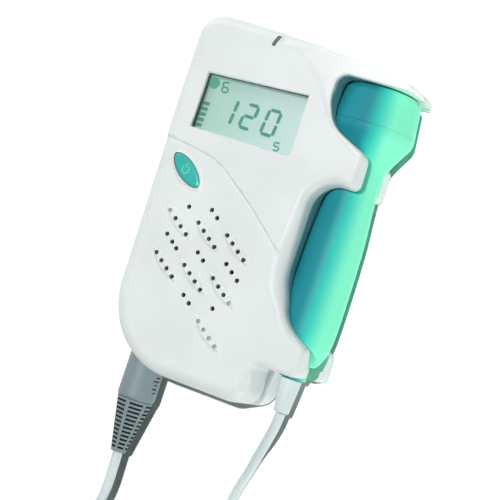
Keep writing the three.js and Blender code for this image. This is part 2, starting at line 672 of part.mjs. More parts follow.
// Leaves, in rows from the top, and the holes in them and between them
const leafCells = [[0, 0], [1, 0], [2, 0], [0, 1], [1, 1], [2, 1], [2, 2]];
const openHoles = [[1, 2, 3], [0, 1, 2, 3], [0, 1, 2, 3], [0, 1, 2, 3], [0, 1, 2, 3], [0, 1, 2], []];
const leafCentre = ([col, row]) => [LEAF_X + col * LEAF_COL, LEAF_Y - row * LEAF_ROW - col * LEAF_COL_FALL];
const along = (x, y, n) => [
  x + Math.cos(LEAF_ANGLE) * HOLE_PITCH * n, y + Math.sin(LEAF_ANGLE) * HOLE_PITCH * n,
];
// Holes between leaves: leaf cell, shares of the column and row pitch, and hole numbers along the row
const plainHoles = [
  [[0, 0], 0.16, 0.41, [0]], [[1, 0], 0.02, 0.5, [-0.5, 0.5]], [[0, 0], 0, -0.46, [-1, 0, 0.8]],
  [[1, 0], 0.02, -0.5, [-0.5, 0.5]], [[2, 0], 0.12, -0.54, [-1, 0, 1]],
  [[1, 1], 0.02, -0.5, [-0.5, 0.5]], [[2, 1], -0.09, -0.43, [0]],
];
const holeCentres = [];
leafCells.forEach((cell, i) => {
  const [x, y] = leafCentre(cell);
  openHoles[i].forEach((n) => holeCentres.push(along(x, y, n - 1.5)));
});
plainHoles.forEach(([cell, right, up, numbers]) => {
  const [x, y] = leafCentre(cell);
  numbers.forEach((n) => holeCentres.push(along(x + right * LEAF_COL, y + up * LEAF_ROW, n)));
});

function raisedLeaf(shape) {
  const body = new THREE.ExtrudeGeometry(shape, {
    depth: WALL / 2, bevelEnabled: true, bevelSize: LEAF_BEVEL, bevelThickness: LEAF_H,
    bevelOffset: -LEAF_BEVEL, bevelSegments: 1,
  });
  return toSolid(moved(body, 0, 0, FACE_Z - WALL / 2));
}

// Indicator slit: a narrow curved bar over the top edge
function slitShape(width) {
  const [x, y] = [LIGHT_SLIT_X, HALF_L - LIGHT_SLIT_LOW - width / 2];
  const steps = 5;
  const length = LIGHT_SLIT_L + width;
  const shape = new THREE.Shape();
  const edge = (side) => (i) => {
    const t = i / steps;
    return [x + LIGHT_SLIT_LEAN * t * t * (2 - t) + (side * width) / 2, y + length * t];
  };
  const points = [...Array(steps + 1).keys()];
  const loop = [...points.map(edge(1)), ...points.toReversed().map(edge(-1))];
  loop.forEach(([px, py], i) => (i ? shape.lineTo(px, py) : shape.moveTo(px, py)));
  shape.closePath();
  return shape;
}

// Housing screws and board pins: places and the solids they need
const screwPlaces = [
  [-HALF_W + CORNER_TOP_R - WALL / 2, HALF_L - CORNER_TOP_R],
  [HOLLOW_RIGHT - BOSS_R * 2, HALF_L - CORNER_TOP_R],
  [-HALF_W + CORNER_TOP_R - WALL / 2 + CLEAR, FOOT_Y + CORNER_FOOT_R + WALL],
  [heelRight - WALL - BOSS_R + CLEAR, FOOT_Y + CORNER_TOP_R],
];
const pinPlaces = [
  [SPEAKER_X - SPEAKER_R - POST_R - PIN_GAP, SPEAKER_Y + PIN_SPEAKER_UP],
  [BOARD_RIGHT - POST_R, LCD_FOOT - PIN_DISPLAY_DOWN],
  [HOLLOW_RIGHT - PIN_CRADLE_GAP, HALF_L - PIN_TOP_GAP],
];

const frontOuter = roundedPlate(bodyOutline, SEAM_Z + SEAM / 2, BODY_T);
const rearOuter = roundedPlate(bodyOutline, SEAM_Z - SEAM / 2, 0);
const hollow = (zFlat, zRound) => roundedPlate(innerOutline, zFlat, zRound).subtract(cradleShell);

const buttonOutline = (grow) =>
  ellipseShape(BUTTON_X, BUTTON_Y, BUTTON_L + 2 * grow, BUTTON_W + 2 * grow, LEAF_ANGLE, BUTTON_POWER);
const keyCentres = [KEY_Y, -KEY_Y];
const keyWall = -HALF_W + SIDE_LEAN / 2;
const panelRim = LCD_RIM + CLEAR;
const glassTop = BODY_T - LCD_LAND - CLEAR;
const plugHole = () => cylinderY(PLUG_X, PROBE_Z, PLUG_R + CLEAR, FOOT_Y - OVERRUN, PLUG_TOP + WALL, BOOT_SIDES);
const wheelX = -HALF_W + WHEEL_R + WHEEL_TOOTH;
const wheelZ = BOARD_Z - CLEAR - POT_T - CLEAR - WHEEL_T / 2;
const wheelRoom = () => {
  const [radius, half] = [WHEEL_R + WHEEL_TOOTH + CLEAR, WHEEL_T / 2 + CLEAR];
  return cylinderZ(wheelX, WHEEL_Y, radius, wheelZ - half, wheelZ + half, BOOT_SIDES * 2);
};
const jackZ = BOARD_TOP_Z + CLEAR;
const jackBody = (grow) => box(
  JACK_X - JACK_W / 2 - grow, JACK_X + JACK_W / 2 + grow, BOARD_TOP - JACK_L - grow, BOARD_TOP + WALL + grow,
  jackZ - grow, jackZ + JACK_H + grow,
);

function frontHousing() {
  let shell = frontOuter
    .subtract(prism(besideHead, FACE_Z, BODY_T + OVERRUN))
    .subtract(prism(belowDisplay, FACE_Z, BODY_T + OVERRUN));
  for (const cell of leafCells) {
    shell = shell.add(raisedLeaf(leafShape(...leafCentre(cell), LEAF_L, LEAF_W, LEAF_ANGLE)));
  }
  const surround = leafShape(BUTTON_X, BUTTON_Y, LEAF_L + 2 * BUTTON_RIM, BUTTON_W + 3 * BUTTON_RIM, LEAF_ANGLE);
  shell = shell.add(raisedLeaf(surround));
  shell = shell.subtract(hollow(SEAM_Z - OVERRUN, ROOF_Z)).subtract(cradle);
  for (const [x, y] of screwPlaces) {
    shell = shell.add(cylinderZ(x, y, BOSS_R, SEAM_Z + SEAM / 2, ROOF_Z + WALL / 2));
    shell = shell.subtract(cylinderZ(x, y, SCREW_R + CLEAR, SEAM_Z - OVERRUN, SCREW_SEAT_Z + SCREW_LEN + CLEAR));
  }
  for (const [x, y] of pinPlaces) {
    shell = shell.add(cylinderZ(x, y, POST_R, BOARD_TOP_Z + CLEAR, ROOF_Z + WALL / 2));
    shell = shell.subtract(cylinderZ(x, y, PIN_R + CLEAR, BOARD_Z, BOARD_TOP_Z + PIN_LEN));
  }
  shell = shell.subtract(prism(lcdShape(0), ROOF_Z - OVERRUN, BODY_T + OVERRUN));
  shell = shell.subtract(prism(lcdShape(panelRim), ROOF_Z - OVERRUN, BODY_T - LCD_LAND));
  shell = shell.subtract(prism(buttonOutline(CLEAR), ROOF_Z - OVERRUN, BODY_T + OVERRUN));
  shell = shell.subtract(prism(slitShape(LIGHT_SLIT_W), BODY_T - LIGHT_SLIT_DEPTH - LIGHT_GAP, BODY_T + OVERRUN));
  for (const [x, y] of holeCentres) {
    shell = shell.subtract(cylinderZ(x, y, HOLE_R, ROOF_Z - OVERRUN, BODY_T + OVERRUN, HOLE_SIDES));
  }
  for (const y of keyCentres) {
    const [dy, dz] = [KEY_L / 2 + CLEAR, KEY_H / 2 + CLEAR];
    shell = shell.subtract(box(-HALF_W - OVERRUN, keyWall + 2 * WALL, y - dy, y + dy, KEY_Z - dz, KEY_Z + dz));
  }
  shell = shell.subtract(cylinderY(JACK_X, jackZ + JACK_H / 2, JACK_BARREL_R + CLEAR, BOARD_TOP, HALF_L + OVERRUN));
  return shell.subtract(jackBody(CLEAR)).subtract(wheelRoom()).subtract(plugHole());
}

// Battery bay limits
const bayTop = BAY_FOOT + CELL_L + CELL_NUB_L + SPRING_L + 2 * CONTACT_T + 4 * CLEAR;
const doorHalf = BAY_HALF + DOOR_LIP;

function rearHousing() {
  let shell = rearOuter.subtract(hollow(SEAM_Z + OVERRUN, WALL));
  const [ribHalf, floorHalf] = [BAY_HALF + BAY_RIB, doorHalf + WALL];
  const ribTop = CELL_Z + CELL_R / 2;
  const rib = box(BAY_X - ribHalf, BAY_X + ribHalf, BAY_FOOT - BAY_RIB, bayTop + BAY_RIB, WALL / 2, ribTop);
  const floor = box(
    BAY_X - floorHalf, BAY_X + floorHalf, BAY_FOOT - WALL, bayTop + DOOR_LIP + WALL, WALL / 2, BAY_FLOOR,
  );
  shell = shell.add(rib).add(floor).subtract(cradle);
  for (const [x, y] of screwPlaces) {
    shell = shell.add(cylinderZ(x, y, BOSS_R, WALL / 2, SEAM_Z - SEAM / 2));
    shell = shell.subtract(cylinderZ(x, y, SCREW_R + CLEAR, -OVERRUN, SEAM_Z + OVERRUN));
    shell = shell.subtract(cylinderZ(x, y, SCREW_HEAD_R + CLEAR, -OVERRUN, SCREW_SEAT_Z + CLEAR));
  }
  shell = shell.subtract(box(BAY_X - BAY_HALF, BAY_X + BAY_HALF, BAY_FOOT, bayTop, -OVERRUN, SEAM_Z + OVERRUN));
  const doorRoom = doorHalf + CLEAR;
  const doorTop = bayTop + DOOR_LIP + CLEAR;
  shell = shell.subtract(box(
    BAY_X - doorRoom, BAY_X + doorRoom, FOOT_Y - OVERRUN, doorTop, -OVERRUN, DOOR_T + CLEAR,
  ));
  shell = shell.subtract(prismY([
    [topRight, SEAM_Z], [topRight - POCKET_END_LEAN, -OVERRUN], [topRight + OVERRUN, -OVERRUN],
    [topRight + OVERRUN, SEAM_Z],
  ], pocketTop - POCKET_CORNER_R, HALF_L));
  const scoopX = -HALF_W - SCOOP_R + SCOOP_DEPTH;
  shell = shell.subtract(cylinderZ(scoopX, WHEEL_Y, SCOOP_R, wheelZ - WHEEL_T, SEAM_Z, SPEAKER_SIDES * 2));
  return shell.subtract(wheelRoom()).subtract(plugHole());
}

// Nodes
const monitor = new THREE.Group();
function piece(name, solid, material, parent = monitor) {
  const mesh = new THREE.Mesh(toGeometry(solid), material);
  mesh.name = name;
  parent.add(mesh);
  return mesh;
}

piece('front_housing', frontHousing(), shellWhite);
piece('rear_housing', rearHousing(), backWhite);

// Battery door: the slice of the back that covers the bay, with finger grooves
let door = rearOuter.intersect(
  box(BAY_X - doorHalf, BAY_X + doorHalf, FOOT_Y - OVERRUN, bayTop + DOOR_LIP, -OVERRUN, DOOR_T),
);
for (let i = 0; i < DOOR_GROOVES; i++) {
  const y = bayTop - DOOR_LIP - i * DOOR_GROOVE_PITCH;
  const [dx, dy] = [DOOR_GROOVE_L / 2, DOOR_GROOVE_W / 2];
  door = door.subtract(box(BAY_X - dx, BAY_X + dx, y - dy, y + dy, -OVERRUN, DOOR_GROOVE_T));
}
piece('battery_door', door, backWhite);

// Display stack
const windowFloor = glassTop - WINDOW_T;
const panelTop = windowFloor - CLEAR;
const lightTop = panelTop - PANEL_T - CLEAR;
const lightT = (lightTop - CLEAR - FRAME_RIM - BOARD_TOP_Z - CLEAR) * LIGHT_SHARE;
const frameTop = lightTop - lightT - CLEAR;
piece('lcd_window', prism(lcdShape(LCD_RIM), windowFloor, glassTop), clearGlass);
piece('lcd_panel', prism(lcdShape(PANEL_MARGIN), panelTop - PANEL_T, panelTop), displayGreen);
piece('lcd_backlight', prism(lcdShape(PANEL_MARGIN), lightTop - lightT, lightTop), shellWhite);
const frameRing = prism(lcdShape(PANEL_MARGIN), frameTop - FRAME_RIM, frameTop)
  .subtract(prism(lcdShape(-FRAME_RIM), frameTop - OVERRUN, frameTop + OVERRUN));
const legX = LCD_W / 2 - FRAME_LEG;
const legY = LCD_H / 2 - FRAME_LEG / 2;
let lcdFrame = frameRing;
for (const [sx, sy] of [[-1, -1], [1, -1], [1, 1], [-1, 1]]) {
  const [x, y] = [LCD_X + sx * legX, LCD_Y + sy * legY];
  const half = FRAME_LEG / 2;
  lcdFrame = lcdFrame.add(box(x - half, x + half, y - half, y + half, BOARD_TOP_Z + CLEAR, frameTop));
}
piece('lcd_frame', lcdFrame, darkGrey);

// Indicator light pipe
const pipeShape = slitShape(LIGHT_SLIT_W - 2 * LIGHT_GAP);
const pipe = prism(pipeShape, BODY_T - LIGHT_SLIT_DEPTH, BODY_T + OVERRUN).intersect(frontOuter);
piece('indicator_light_pipe', pipe, smokeGrey);

// Power button with its flange and stem, and the switch below it
const switchTop = BOARD_TOP_Z + CLEAR + SWITCH_H;
const buttonTop = FACE_Z + BUTTON_TOP;
const flangeTop = ROOF_Z - CLEAR;
const buttonCap = new THREE.ExtrudeGeometry(buttonOutline(0), {
  depth: buttonTop - BUTTON_BEVEL - flangeTop, bevelEnabled: true, bevelSize: BUTTON_BEVEL,
  bevelThickness: BUTTON_BEVEL, bevelOffset: -BUTTON_BEVEL, bevelSegments: 2,
});
const button = toSolid(moved(buttonCap, 0, 0, flangeTop))
  .add(prism(buttonOutline(BUTTON_FLANGE), flangeTop - BUTTON_FLANGE_T, flangeTop))
  .add(cylinderZ(BUTTON_X, BUTTON_Y, STEM_R, switchTop + BUTTON_TRAVEL + CLEAR, flangeTop));
piece('power_button', button, buttonTeal);
// A square part of a given size and height on the board
const onBoard = (x, y, size, height) =>
  box(x - size / 2, x + size / 2, y - size / 2, y + size / 2, BOARD_TOP_Z + CLEAR, BOARD_TOP_Z + CLEAR + height);
const powerSwitch = onBoard(BUTTON_X, BUTTON_Y, SWITCH_SIZE, SWITCH_H - WALL / 2)
  .add(cylinderZ(BUTTON_X, BUTTON_Y, STEM_R, BOARD_TOP_Z + CLEAR, switchTop));
piece('power_switch', powerSwitch, chipBlack);

// Side keys and their switches
const keyNames = ['mode', 'record'];
const keyOuter = keyWall - KEY_PROUD;
const keyInner = keyWall + WALL + CLEAR + WALL / 2;
keyCentres.forEach((y, i) => {
  const profile = new THREE.Shape();
  const [dy, dz] = [KEY_L / 2, KEY_H / 2];
  profile.absellipse(0, 0, dy, dz, 0, 2 * Math.PI);
  const cap = new THREE.ExtrudeGeometry(profile, {
    depth: keyInner - keyOuter - KEY_BEVEL, bevelEnabled: true, bevelSize: KEY_BEVEL, bevelThickness: KEY_BEVEL,
    bevelOffset: -KEY_BEVEL, bevelSegments: 2, curveSegments: 5,
  });
  cap.rotateZ(Math.PI / 2).rotateY(Math.PI / 2);
  const lip = dy + KEY_FLANGE;
  const flange = box(keyInner, keyInner + KEY_FLANGE_T, y - lip, y + lip, KEY_Z - dz, KEY_Z + dz);
  piece(`${keyNames[i]}_button`, toSolid(moved(cap, keyOuter + KEY_BEVEL, y, KEY_Z)).add(flange), buttonTeal);
  const start = keyInner + KEY_FLANGE_T + KEY_TRAVEL + CLEAR;
  const half = SWITCH_SIZE / 2;
  const body = box(start, start + SWITCH_DEPTH, y - half, y + half, BOARD_TOP_Z + CLEAR, KEY_Z + dz);
  piece(`${keyNames[i]}_switch`, body, chipBlack);
});

// Volume wheel on its control
const rim = new THREE.Shape();
for (let i = 0; i < WHEEL_TEETH * 2; i++) {
  const angle = (i / (WHEEL_TEETH * 2)) * 2 * Math.PI;
  const r = WHEEL_R + (i % 2 ? WHEEL_TOOTH : 0);
  const [x, y] = [r * Math.cos(angle), r * Math.sin(angle)];
  if (i) rim.lineTo(x, y);
  else rim.moveTo(x, y);
}
rim.closePath();
const wheel = new THREE.ExtrudeGeometry(rim, { depth: WHEEL_T, bevelEnabled: false });
const wheelSolid = toSolid(moved(wheel, wheelX, WHEEL_Y, wheelZ - WHEEL_T / 2))
  .subtract(cylinderZ(wheelX, WHEEL_Y, WHEEL_SHAFT_R + CLEAR, wheelZ - OVERRUN, wheelZ + OVERRUN));
piece('volume_wheel', wheelSolid, darkGrey);
const [potHalf, potTop] = [POT_SIZE / 2, BOARD_Z - CLEAR];
const pot = box(wheelX - potHalf, wheelX + potHalf, WHEEL_Y - potHalf, WHEEL_Y + potHalf, potTop - POT_T, potTop)
  .add(cylinderZ(wheelX, WHEEL_Y, WHEEL_SHAFT_R, wheelZ - WHEEL_T / 2, potTop));
piece('volume_control', pot, chipBlack);

// Headphone jack, main board and the parts on it
const jack = jackBody(0)
  .add(cylinderY(JACK_X, jackZ + JACK_H / 2, JACK_BARREL_R, BOARD_TOP, HALF_L - WALL / 2))
  .subtract(cylinderY(JACK_X, jackZ + JACK_H / 2, JACK_BORE_R, BOARD_TOP - JACK_L + WALL, HALF_L + OVERRUN));
piece('headphone_jack', jack, chipBlack);

let board = box(BOARD_LEFT, BOARD_RIGHT, BOARD_FOOT, BOARD_TOP, BOARD_Z, BOARD_TOP_Z);
for (const [x, y] of screwPlaces) board = board.subtract(cylinderZ(x, y, BOSS_R + 2 * CLEAR, 0, BODY_T, BOOT_SIDES));
for (const [x, y] of pinPlaces) board = board.subtract(cylinderZ(x, y, PIN_R + CLEAR, 0, BODY_T));
piece('main_board', board, boardGreen);
piece('processor_chip', onBoard(BUTTON_X + CHIP_RIGHT, BUTTON_Y + CHIP_UP, CHIP_SIZE, CHIP_T), chipBlack);
piece('amplifier_chip', onBoard(HOLLOW_RIGHT - AMP_CRADLE_GAP, LCD_FOOT - AMP_DOWN, AMP_SIZE, CHIP_T), chipBlack);
const [canX, canY] = [BOARD_RIGHT - CAN_R - CAN_EDGE, BOARD_FOOT + CAN_UP];
piece('capacitor', cylinderZ(canX, canY, CAN_R, BOARD_TOP_Z + CLEAR, ROOF_Z - CAN_ROOM), steel);

// Speaker
const speakerTop = ROOF_Z - CLEAR;
const lipTop = speakerTop - GASKET_T - CLEAR;
const ringIn = SPEAKER_R - SPEAKER_LIP;
piece('speaker_gasket', turnedZ([
  [ringIn, speakerTop - GASKET_T], [SPEAKER_R, speakerTop - GASKET_T], [SPEAKER_R, speakerTop], [ringIn, speakerTop],
  [ringIn, speakerTop - GASKET_T],
], SPEAKER_X, SPEAKER_Y, SPEAKER_SIDES), foam);
const speakerRoom = lipTop - BOARD_TOP_Z - SPEAKER_LIFT - CLEAR;
const magnetT = speakerRoom * MAGNET_SHARE;
const basketFloor = lipTop - (speakerRoom - magnetT);
piece('speaker_frame', turnedZ([
  [0, basketFloor], [SPEAKER_FLOOR_R, basketFloor], [ringIn + SPEAKER_METAL, lipTop - SPEAKER_RIM],
  [ringIn + SPEAKER_METAL, lipTop - SPEAKER_LIP_T], [SPEAKER_R, lipTop - SPEAKER_LIP_T], [SPEAKER_R, lipTop],
  [ringIn, lipTop], [ringIn, lipTop - SPEAKER_RIM], [SPEAKER_FLOOR_R, basketFloor + SPEAKER_METAL],
  [0, basketFloor + SPEAKER_METAL],
], SPEAKER_X, SPEAKER_Y, SPEAKER_SIDES), steel);
const coneTop = lipTop - CLEAR;
const coneR = ringIn - SPEAKER_METAL;
const coneDepth = (coneTop - basketFloor - SPEAKER_METAL) * CONE_SHARE;
piece('speaker_cone', turnedZ([
  [0, coneTop - coneDepth / 2], [CAP_R, coneTop - coneDepth], [coneR - CONE_T, coneTop - CONE_T],
  [coneR, coneTop - CONE_T], [coneR, coneTop], [coneR - CONE_T, coneTop], [CAP_R, coneTop - coneDepth + CONE_T],
  [0, coneTop - coneDepth / 2 + CONE_T],
], SPEAKER_X, SPEAKER_Y, SPEAKER_SIDES), paperCone);
const magnetTop = basketFloor - CLEAR;
const magnet = cylinderZ(SPEAKER_X, SPEAKER_Y, MAGNET_R, magnetTop - magnetT, magnetTop, SPEAKER_SIDES);
piece('speaker_magnet', magnet, darkGrey);

// Batteries, side by side and head to tail, with their contacts
const springFace = BAY_FOOT + CLEAR + CONTACT_T;
for (let i = 0; i < 2; i++) {
  const way = i ? -1 : 1;
  const x = BAY_X + (i - 0.5) * (2 * CELL_R + CLEAR);
  const middle = (BAY_FOOT + bayTop) / 2;
  const place = (a, b) => (way > 0 ? [a, b] : [2 * middle - b, 2 * middle - a]);
  const [cellStart, nubStart] = [springFace + SPRING_L + 2 * CLEAR, springFace + SPRING_L + 2 * CLEAR + CELL_L];
  const cell = cylinderY(x, CELL_Z, CELL_R, ...place(cellStart, nubStart), CELL_SIDES)
    .add(cylinderY(x, CELL_Z, CELL_NUB_R, ...place(cellStart, nubStart + CELL_NUB_L), CELL_SIDES));
  piece(`battery_${i + 1}`, cell, cellGreen);
  const plate = (a, b) => {
    const [y0, y1] = place(a, b);
    return box(x - CONTACT_W / 2, x + CONTACT_W / 2, y0, y1, CELL_Z - CONTACT_H / 2, CELL_Z + CONTACT_H / 2);
  };
  piece(`battery_contact_${i + 1}`, plate(bayTop - CLEAR - CONTACT_T, bayTop - CLEAR), steel);
  piece(`spring_plate_${i + 1}`, plate(BAY_FOOT + CLEAR, springFace), steel);
  const turns = [];
  const steps = SPRING_TURNS * 8;
  const [y0, y1] = place(springFace + CLEAR + SPRING_WIRE_R, springFace + SPRING_L + CLEAR - SPRING_WIRE_R);
  for (let k = 0; k <= steps; k++) {
    const angle = (k / 8) * 2 * Math.PI;
    const t = k / steps;
    const r = SPRING_R * (1 - t / 3);
    const y = way > 0 ? share(y0, y1, t) : share(y1, y0, t);
    turns.push(new THREE.Vector3(x + r * Math.cos(angle), y, CELL_Z + r * Math.sin(angle)));
  }
  piece(`battery_spring_${i + 1}`, tube(turns, SPRING_WIRE_R, 5, new THREE.Vector3(0, 1, 0)), steel);
}

// Tube along points, its ring kept square to the path and level with the given axis
function tube(points, radius, sides, axis) {
  const rings = points.map((point, i) => {
    const [before, after] = [points[Math.max(i - 1, 0)], points[Math.min(i + 1, points.length - 1)]];
    const heading = after.clone().sub(before).normalize();
    const across = axis.clone().cross(heading).normalize();
    const up = heading.clone().cross(across);
    return [...Array(sides).keys()].map((k) => {
      const angle = ((k + 0.5) / sides) * 2 * Math.PI;
      const spoke = across.clone().multiplyScalar(Math.cos(angle)).addScaledVector(up, Math.sin(angle));
      return point.clone().addScaledVector(spoke, radius).toArray();
    });
  });
  const faces = [];
  const last = (rings.length - 1) * sides;
  for (let i = 0; i + 1 < rings.length; i++) {
    for (let k = 0; k < sides; k++) {
      const n = (k + 1) % sides;
      const [a, b, c, d] = [i * sides + k, i * sides + n, (i + 1) * sides + n, (i + 1) * sides + k];
      faces.push(a, b, c, a, c, d);
    }
  }
  for (let k = 1; k + 1 < sides; k++) faces.push(0, k + 1, k, last, last + k, last + k + 1);
  const geometry = new THREE.BufferGeometry();
  geometry.setAttribute('position', new THREE.Float32BufferAttribute(rings.flat(2), 3));
  geometry.setIndex(faces);
  return toSolid(geometry);
}

// Housing screws and board pins
screwPlaces.forEach(([x, y], i) => {
  const screw = cylinderZ(x, y, SCREW_R, SCREW_SEAT_Z - SCREW_HEAD_H, SCREW_SEAT_Z + SCREW_LEN)
    .add(cylinderZ(x, y, SCREW_HEAD_R, SCREW_SEAT_Z - SCREW_HEAD_H, SCREW_SEAT_Z));
  piece(`housing_screw_${i + 1}`, screw, steel);
});
pinPlaces.forEach(([x, y], i) => {
  const pinTop = BOARD_Z - CLEAR;
  const screw = cylinderZ(x, y, PIN_R, pinTop - PIN_HEAD_H, BOARD_TOP_Z + PIN_LEN - 2 * CLEAR)
    .add(cylinderZ(x, y, PIN_HEAD_R, pinTop - PIN_HEAD_H, pinTop));
  piece(`board_screw_${i + 1}`, screw, steel);
});

// Probe: head cap, handle, tail collar and what they hold
const probe = new THREE.Group();
monitor.add(probe);
const capFoot = PROBE_TOP - PROBE_CAP_LEN;
const outside = turnedY(closedProfile(probeProfile(0)), PROBE_X, PROBE_Z, PROBE_SIDES);
const slab = (y0, y1) => box(PROBE_X - HALF_W, PROBE_X + HALF_W, y0, y1, -BODY_T, 2 * BODY_T);
const capRoom = turnedY([
  [0, PROBE_TOP - PROBE_WALL], [PROBE_FACE_R - PROBE_WALL, PROBE_TOP - PROBE_WALL],
  [PROBE_FACE_R - PROBE_WALL, capFoot - OVERRUN], [0, capFoot - OVERRUN],
], PROBE_X, PROBE_Z, PROBE_SIDES);
const cap = outside.intersect(slab(capFoot + SEAM / 2, PROBE_TOP + OVERRUN)).subtract(capRoom);
piece('probe_cap', cap, probeTeal, probe);
const handleRoom = turnedY([
  [0, capFoot + OVERRUN], [PROBE_FACE_R - PROBE_WALL, capFoot + OVERRUN], [PROBE_FACE_R - PROBE_WALL, HEAD_BASE],
  [PROBE_WAIST_R - PROBE_WALL, WAIST_TOP], [PROBE_WAIST_R - PROBE_WALL, GRIP_FOOT],
  [PROBE_NECK_R - PROBE_WALL, TAIL_FOOT + PROBE_WALL], [PROBE_NECK_R - PROBE_WALL, TAIL_FOOT - OVERRUN],
  [0, TAIL_FOOT - OVERRUN],
], PROBE_X, PROBE_Z, PROBE_SIDES);
const handle = outside.intersect(slab(TAIL_FOOT - OVERRUN, capFoot - SEAM / 2)).subtract(handleRoom);
piece('probe_handle', handle, probeTeal, probe);
const collarTop = TAIL_FOOT - CLEAR;
piece('probe_tail_collar', cylinderY(PROBE_X, PROBE_Z, PROBE_NECK_R, NECK_FOOT, collarTop, PROBE_SIDES)
  .subtract(cylinderY(PROBE_X, PROBE_Z, CABLE_R, NECK_FOOT - OVERRUN, collarTop + OVERRUN)), probeTeal, probe);
const reliefTop = NECK_FOOT - CLEAR;
const reliefFoot = reliefTop - RELIEF_L;
piece('probe_strain_relief', turnedY([
  [0, reliefFoot], [RELIEF_END_R, reliefFoot], [share(RELIEF_END_R, RELIEF_R, 0.55), share(reliefFoot, reliefTop, 0.5)],
  [RELIEF_R, reliefTop], [0, reliefTop],
], PROBE_X, PROBE_Z, PROBE_SIDES), cableGrey, probe);

const discTop = PROBE_TOP - PROBE_WALL - CLEAR;
for (let i = 0; i < 2; i++) {
  const [left, right] = i ? [DISC_SPLIT / 2, HALF_W] : [-HALF_W, -DISC_SPLIT / 2];
  const half = box(PROBE_X + left, PROBE_X + right, discTop - OVERRUN, discTop + OVERRUN, 0, BODY_T);
  const disc = cylinderY(PROBE_X, PROBE_Z, DISC_R, discTop - DISC_T, discTop, PROBE_SIDES).intersect(half);
  piece(i ? 'receive_crystal' : 'transmit_crystal', disc, copper, probe);
}
const backingTop = discTop - DISC_T - CLEAR;
const backing = cylinderY(PROBE_X, PROBE_Z, BACKING_R, backingTop - BACKING_T, backingTop, PROBE_SIDES);
piece('crystal_backing', backing, darkGrey, probe);
const [chipHalf, chipLift] = [CHIP_BOARD_W / 2, CHIP_BOARD_T / 2];
const chipBoard = box(
  PROBE_X - chipHalf, PROBE_X + chipHalf, GRIP_FOOT + CHIP_BOARD_FOOT_GAP, WAIST_FOOT, PROBE_Z - chipLift, PROBE_Z + chipLift,
);
piece('probe_board', chipBoard, boardGreen, probe);

// Socket and plug at the foot
const socket = cylinderY(PLUG_X, PROBE_Z, SOCKET_R, SOCKET_FOOT, SOCKET_TOP, BOOT_SIDES)
  .subtract(cylinderY(PLUG_X, PROBE_Z, NOSE_R + CLEAR, SOCKET_FOOT - OVERRUN, SOCKET_TOP - WALL, BOOT_SIDES));
piece('probe_socket', socket, chipBlack);
const plugFoot = PLUG_TOP - PLUG_L;
piece('plug_body', turnedY([
  [0, plugFoot], [PLUG_R - PLUG_BEVEL, plugFoot], [PLUG_R, plugFoot + PLUG_BEVEL], [PLUG_R, PLUG_TOP],
  [NOSE_R, PLUG_TOP], [NOSE_R, PLUG_TOP + NOSE_L], [0, PLUG_TOP + NOSE_L],
], PLUG_X, PROBE_Z, BOOT_SIDES * 2), plugGrey);

const bootTop = plugFoot - CLEAR;
const bootFoot = bootTop - BOOT_L;
const bootProfile = [[0, bootTop], [BOOT_R, bootTop]];
const ribPitch = BOOT_L / (BOOT_RIBS + 1);
for (let i = 0; i < BOOT_RIBS; i++) {
  const y = bootTop - (i + 0.6) * ribPitch;
  const r = share(BOOT_R, BOOT_END_R, (i + 1) / (BOOT_RIBS + 1));
  bootProfile.push([r, y], [r - BOOT_GROOVE, y], [r - BOOT_GROOVE, y - ribPitch * 0.45], [r, y - ribPitch * 0.45]);
}
bootProfile.push([BOOT_END_R, bootFoot], [0, bootFoot]);
piece('plug_strain_relief', turnedY(bootProfile, PLUG_X, PROBE_Z, BOOT_SIDES), plugGrey);

// Cable: two free stretches by hand, and between them a round coil
const probeRoute = [
  [29.6, -66.9, 17.5], [28.9, -71, 16.9], [27, -76, 14.2], [24.1, -81.2, 9.6], [21.2, -86.6, 5.3], [19.1, -92.5, 2.8],
  [16.9, -99.4, 2.1], [15.5, -107, 2.1], [15.2, -115.5, 2.2], [15.9, -124.5, 2.5], [17.2, -133.5, 2.9], [18.4, -142, 3.15],
  [18.73, -148.85, 3.2],
];
const plugRoute = [
  [-36.73, -148.85, 16.4], [-36.3, -142, 16.3], [-34.6, -135, 16.05], [-32, -128, 15.95], [-29.9, -121.6, 16.2],
  [-28.9, -115.5, 16.8], [-28.7, -109, 17.3], [-28.8, -102.3, 17.5],
];
const layerTurns = COIL_TURNS / COIL_LAYERS;
const coilStart = COIL_MEAN_R + (layerTurns * COIL_PITCH) / 2;
const coilPoints = [];
for (let i = 0; i <= COIL_TURNS * LOOP_STEPS; i++) {
  const turn = i / LOOP_STEPS;
  const layer = Math.min(Math.floor(turn / layerTurns), COIL_LAYERS - 1);
  const inLayer = turn - layer * layerTurns;
  const travelled = layer % 2 ? layerTurns - inLayer : inLayer;
  let rise = layer;
  if (layer > 0 && inLayer < 0.25) rise += (inLayer - 0.25) * 2;
  if (layer < COIL_LAYERS - 1 && layerTurns - inLayer < 0.25) rise += (0.25 - (layerTurns - inLayer)) * 2;
  const r = coilStart - travelled * COIL_PITCH;
  const angle = -turn * 2 * Math.PI;
  const z = COIL_LIFT + CABLE_R + rise * COIL_LAYER;
  coilPoints.push(new THREE.Vector3(COIL_X + r * Math.cos(angle), COIL_Y + r * Math.sin(angle), z));
}
const straightEnd = (point, way) => point.clone().add(new THREE.Vector3(0, way * 2 * CABLE_R, 0));
coilPoints.unshift(straightEnd(coilPoints[0], 1));
coilPoints.push(straightEnd(coilPoints[coilPoints.length - 1], 1));

